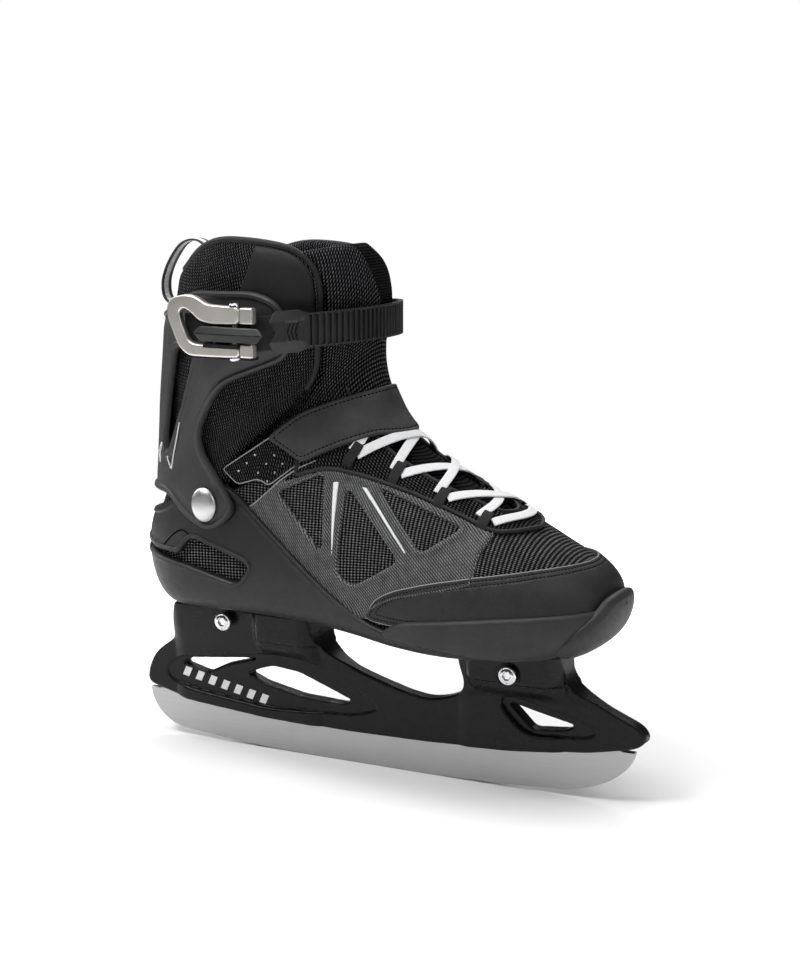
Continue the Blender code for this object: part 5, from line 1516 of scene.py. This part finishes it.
def make_insole():
    """A padded footbed: cupped at the heel, raised at the arch side edges, soft rolled rim."""
    low, high = (np.array(corner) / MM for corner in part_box("insole"))
    along, across = np.linspace(0.0, 1.0, 97), np.linspace(-1.0, 1.0, 41)
    shape = [(0, 0.0), (0.01, 0.22), (0.04, 0.42), (0.1, 0.58), (0.2, 0.68), (0.35, 0.68), (0.5, 0.74), (0.65, 0.9),
             (0.76, 0.97), (0.86, 0.9), (0.94, 0.66), (0.985, 0.34), (1, 0.0)]
    half = np.interp(along, *np.array(shape).T) * (high[1] - low[1]) / 2
    a, b = np.meshgrid(along, across, indexing="ij")
    x = low[0] + 1.0 + (high[0] - low[0] - 2.0) * a
    y = (low[1] + high[1]) / 2 + half[:, None] * b
    edge = np.clip((1 - np.abs(b)) * half[:, None] / 3.0, 0, 1) * np.clip(np.minimum(a, 1 - a) * 60, 0, 1)
    thick = high[2] - low[2]
    top = low[2] + thick * (0.35 + 0.55 * edge**0.5 - 0.16 * (1 - b**2) * np.exp(-((a - 0.16) / 0.16)**2)
                            + 0.05 * np.sin(9 * a) * (1 - b**2))
    bottom = low[2] + 0.02 * thick + 0.33 * thick * (1 - edge**0.5)
    rows, cols = a.shape
    points = np.concatenate([np.stack([x, y, z], 2).reshape(-1, 3) for z in (top, bottom)])
    faces, n = [], rows * cols
    for i in range(rows - 1):
        for j in range(cols - 1):
            p, q, r, s = i * cols + j, (i + 1) * cols + j, (i + 1) * cols + j + 1, i * cols + j + 1
            faces += [(p, q, r, s), (p + n, s + n, r + n, q + n)]
        for j, turn in ((0, 1), (cols - 1, -1)):
            p, q = i * cols + j, (i + 1) * cols + j
            faces.append((p, p + n, q + n, q)[::turn])
    insole = face_outwards(make_object("padded_footbed", points, faces, LINING), lambda bm:
                           bmesh.ops.remove_doubles(bm, verts=bm.verts, dist=0.05 * MM))
    settle(insole, BOOT, "insole", "insole")


def make_pull_loop():
    """A black and white webbing loop at the back of the collar."""
    path = [(-97.0, 264), (-96.6, 274), (-98.6, 283.5), (-104.2, 288.6), (-111, 289.4), (-117.2, 286.6), (-122.8, 280),
            (-127, 272.6), (-129.2, 265), (-128.4, 257.4), (-124, 253.2), (-118.4, 251.4), (-114.8, 246)]
    points = smooth_line([(x, 0.0, z) for x, z in path])
    centre = np.array([-115.0, 0.0, 274.0])
    along, _, _ = frames(points, points - centre)
    ups = np.cross(along, np.array([0.0, 1.0, 0.0]))
    f = Finish("pull_webbing", (0.02, 0.02, 0.02), 0.75, Sheen_Weight=0.15)
    place, across, _ = f.parts(f.cloth())
    pale = f.math("LESS_THAN", f.math("ABSOLUTE", f.math("ADD", across, 0.9)), 2.1)
    f.set("Base Color", f.mix(pale, (0.012, 0.012, 0.013), (0.78, 0.78, 0.78)))
    f.bump(f.ripple(place, 0.9), 0.15)
    loop = sweep("pull_loop_webbing", points, ups, ellipse(9.6, 1.2, 16, 0.5), f.material)
    settle(face_outwards(loop), CUFF, "pull_loop", "pull_loop")


make_holder()
make_runner()
make_bolts()
make_pivots()
make_ladder_strap()
make_buckle()
dress_cad_nodes()
make_lace()
make_lace_loops()
make_pull_loop()
make_insole()


# ---------------------------------------------------------------- stage, light and camera

def make_stage():
    """A wide pale floor that glows with painted light away from the object and not round it, so that its shadow shows.
    """
    floor = Finish("floor", (0.86, 0.86, 0.865), 0.85, Emission_Strength=1.0, Specular_IOR_Level=0.1)
    away = floor.node("VectorMath", operation="LENGTH", i0=floor.solid()).outputs["Value"]
    # painted light: the floor's glow rises with distance from the object
    glow = floor.ramp(away, 170.0, 520.0, 0.0, 0.95)
    floor.set("Emission Color", floor.mix(glow, (0.0, 0.0, 0.0), (1.0, 1.0, 1.0)))
    floor.bump(floor.noise(floor.solid((0.05, 0.05, 0.05)), 20.0), 0.1, 0.1)
    radii, n, below = (200.0, 420.0, 640.0, 760.0), 48, -0.05
    points = [(0.0, 0.0, below)]
    for r in radii:
        points += [(r * math.cos(TAU * k / n), r * math.sin(TAU * k / n), below) for k in range(n)]
    faces = [(0, 1 + k, 1 + (k + 1) % n) for k in range(n)]
    for ring in range(len(radii) - 1):
        a = 1 + n * ring
        faces += [(a + k, a + n + k, a + n + (k + 1) % n, a + (k + 1) % n) for k in range(n)]
    make_object("studio_floor", points, faces, floor.material, sharp=80)


TARGET = Vector((0.019, 0.0, 0.1495))


def aimed(name, data, azimuth, elevation, distance):
    """A light or camera looking at the target; azimuth 0 is square-on to the outer side, more is nearer the toe."""
    obj = linked(name, data)
    a, e = math.radians(azimuth), math.radians(elevation)
    back = Vector((math.sin(a) * math.cos(e), -math.cos(a) * math.cos(e), math.sin(e)))
    obj.location = TARGET + back * distance
    obj.rotation_euler = back.to_track_quat("Z", "Y").to_euler()
    return obj


def light(name, azimuth, elevation, distance, size, power):
    data = bpy.data.lights.new(name, "AREA")
    data.shape = "RECTANGLE"
    data.size, data.size_y = size
    data.energy = power
    aimed(name, data, azimuth, elevation, distance)


def make_studio():
    """The floor, a white backdrop that lights nothing, five soft lights and the photograph's camera."""
    make_stage()
    world = bpy.data.worlds.new("studio")
    world.use_nodes = True
    tree = world.node_tree
    ambient = tree.nodes["Background"]
    ambient.inputs["Color"].default_value = (1.0, 1.0, 1.0, 1.0)
    ambient.inputs["Strength"].default_value = 0.06
    backdrop = tree.nodes.new("ShaderNodeBackground")
    backdrop.inputs["Color"].default_value = (1.0, 1.0, 1.0, 1.0)
    backdrop.inputs["Strength"].default_value = 1.0
    seen = tree.nodes.new("ShaderNodeLightPath")
    either = tree.nodes.new("ShaderNodeMixShader")
    tree.links.new(seen.outputs["Is Camera Ray"], either.inputs[0])
    tree.links.new(ambient.outputs[0], either.inputs[1])
    tree.links.new(backdrop.outputs[0], either.inputs[2])
    tree.links.new(either.outputs[0], tree.nodes["World Output"].inputs["Surface"])
    bpy.context.scene.world = world
    light("key", -36, 50, 1.4, (0.6, 0.45), 14)
    light("side", -95, 26, 1.4, (0.35, 0.9), 6)
    light("front", 75, 30, 1.5, (0.35, 0.9), 4)
    light("top", 30, 84, 1.3, (0.9, 0.9), 14)
    light("rim", 200, 42, 1.5, (1.2, 0.6), 9)
    bpy.context.scene.view_settings.view_transform = "Standard"
    data = bpy.data.cameras.new("camera")
    data.lens = 75.2
    data.sensor_width = 36.0
    data.shift_y = 25 / 960  # the photograph's framing
    bpy.context.scene.camera = aimed("camera", data, 27, 11, 1.09)


make_studio()
bpy.context.view_layer.update()
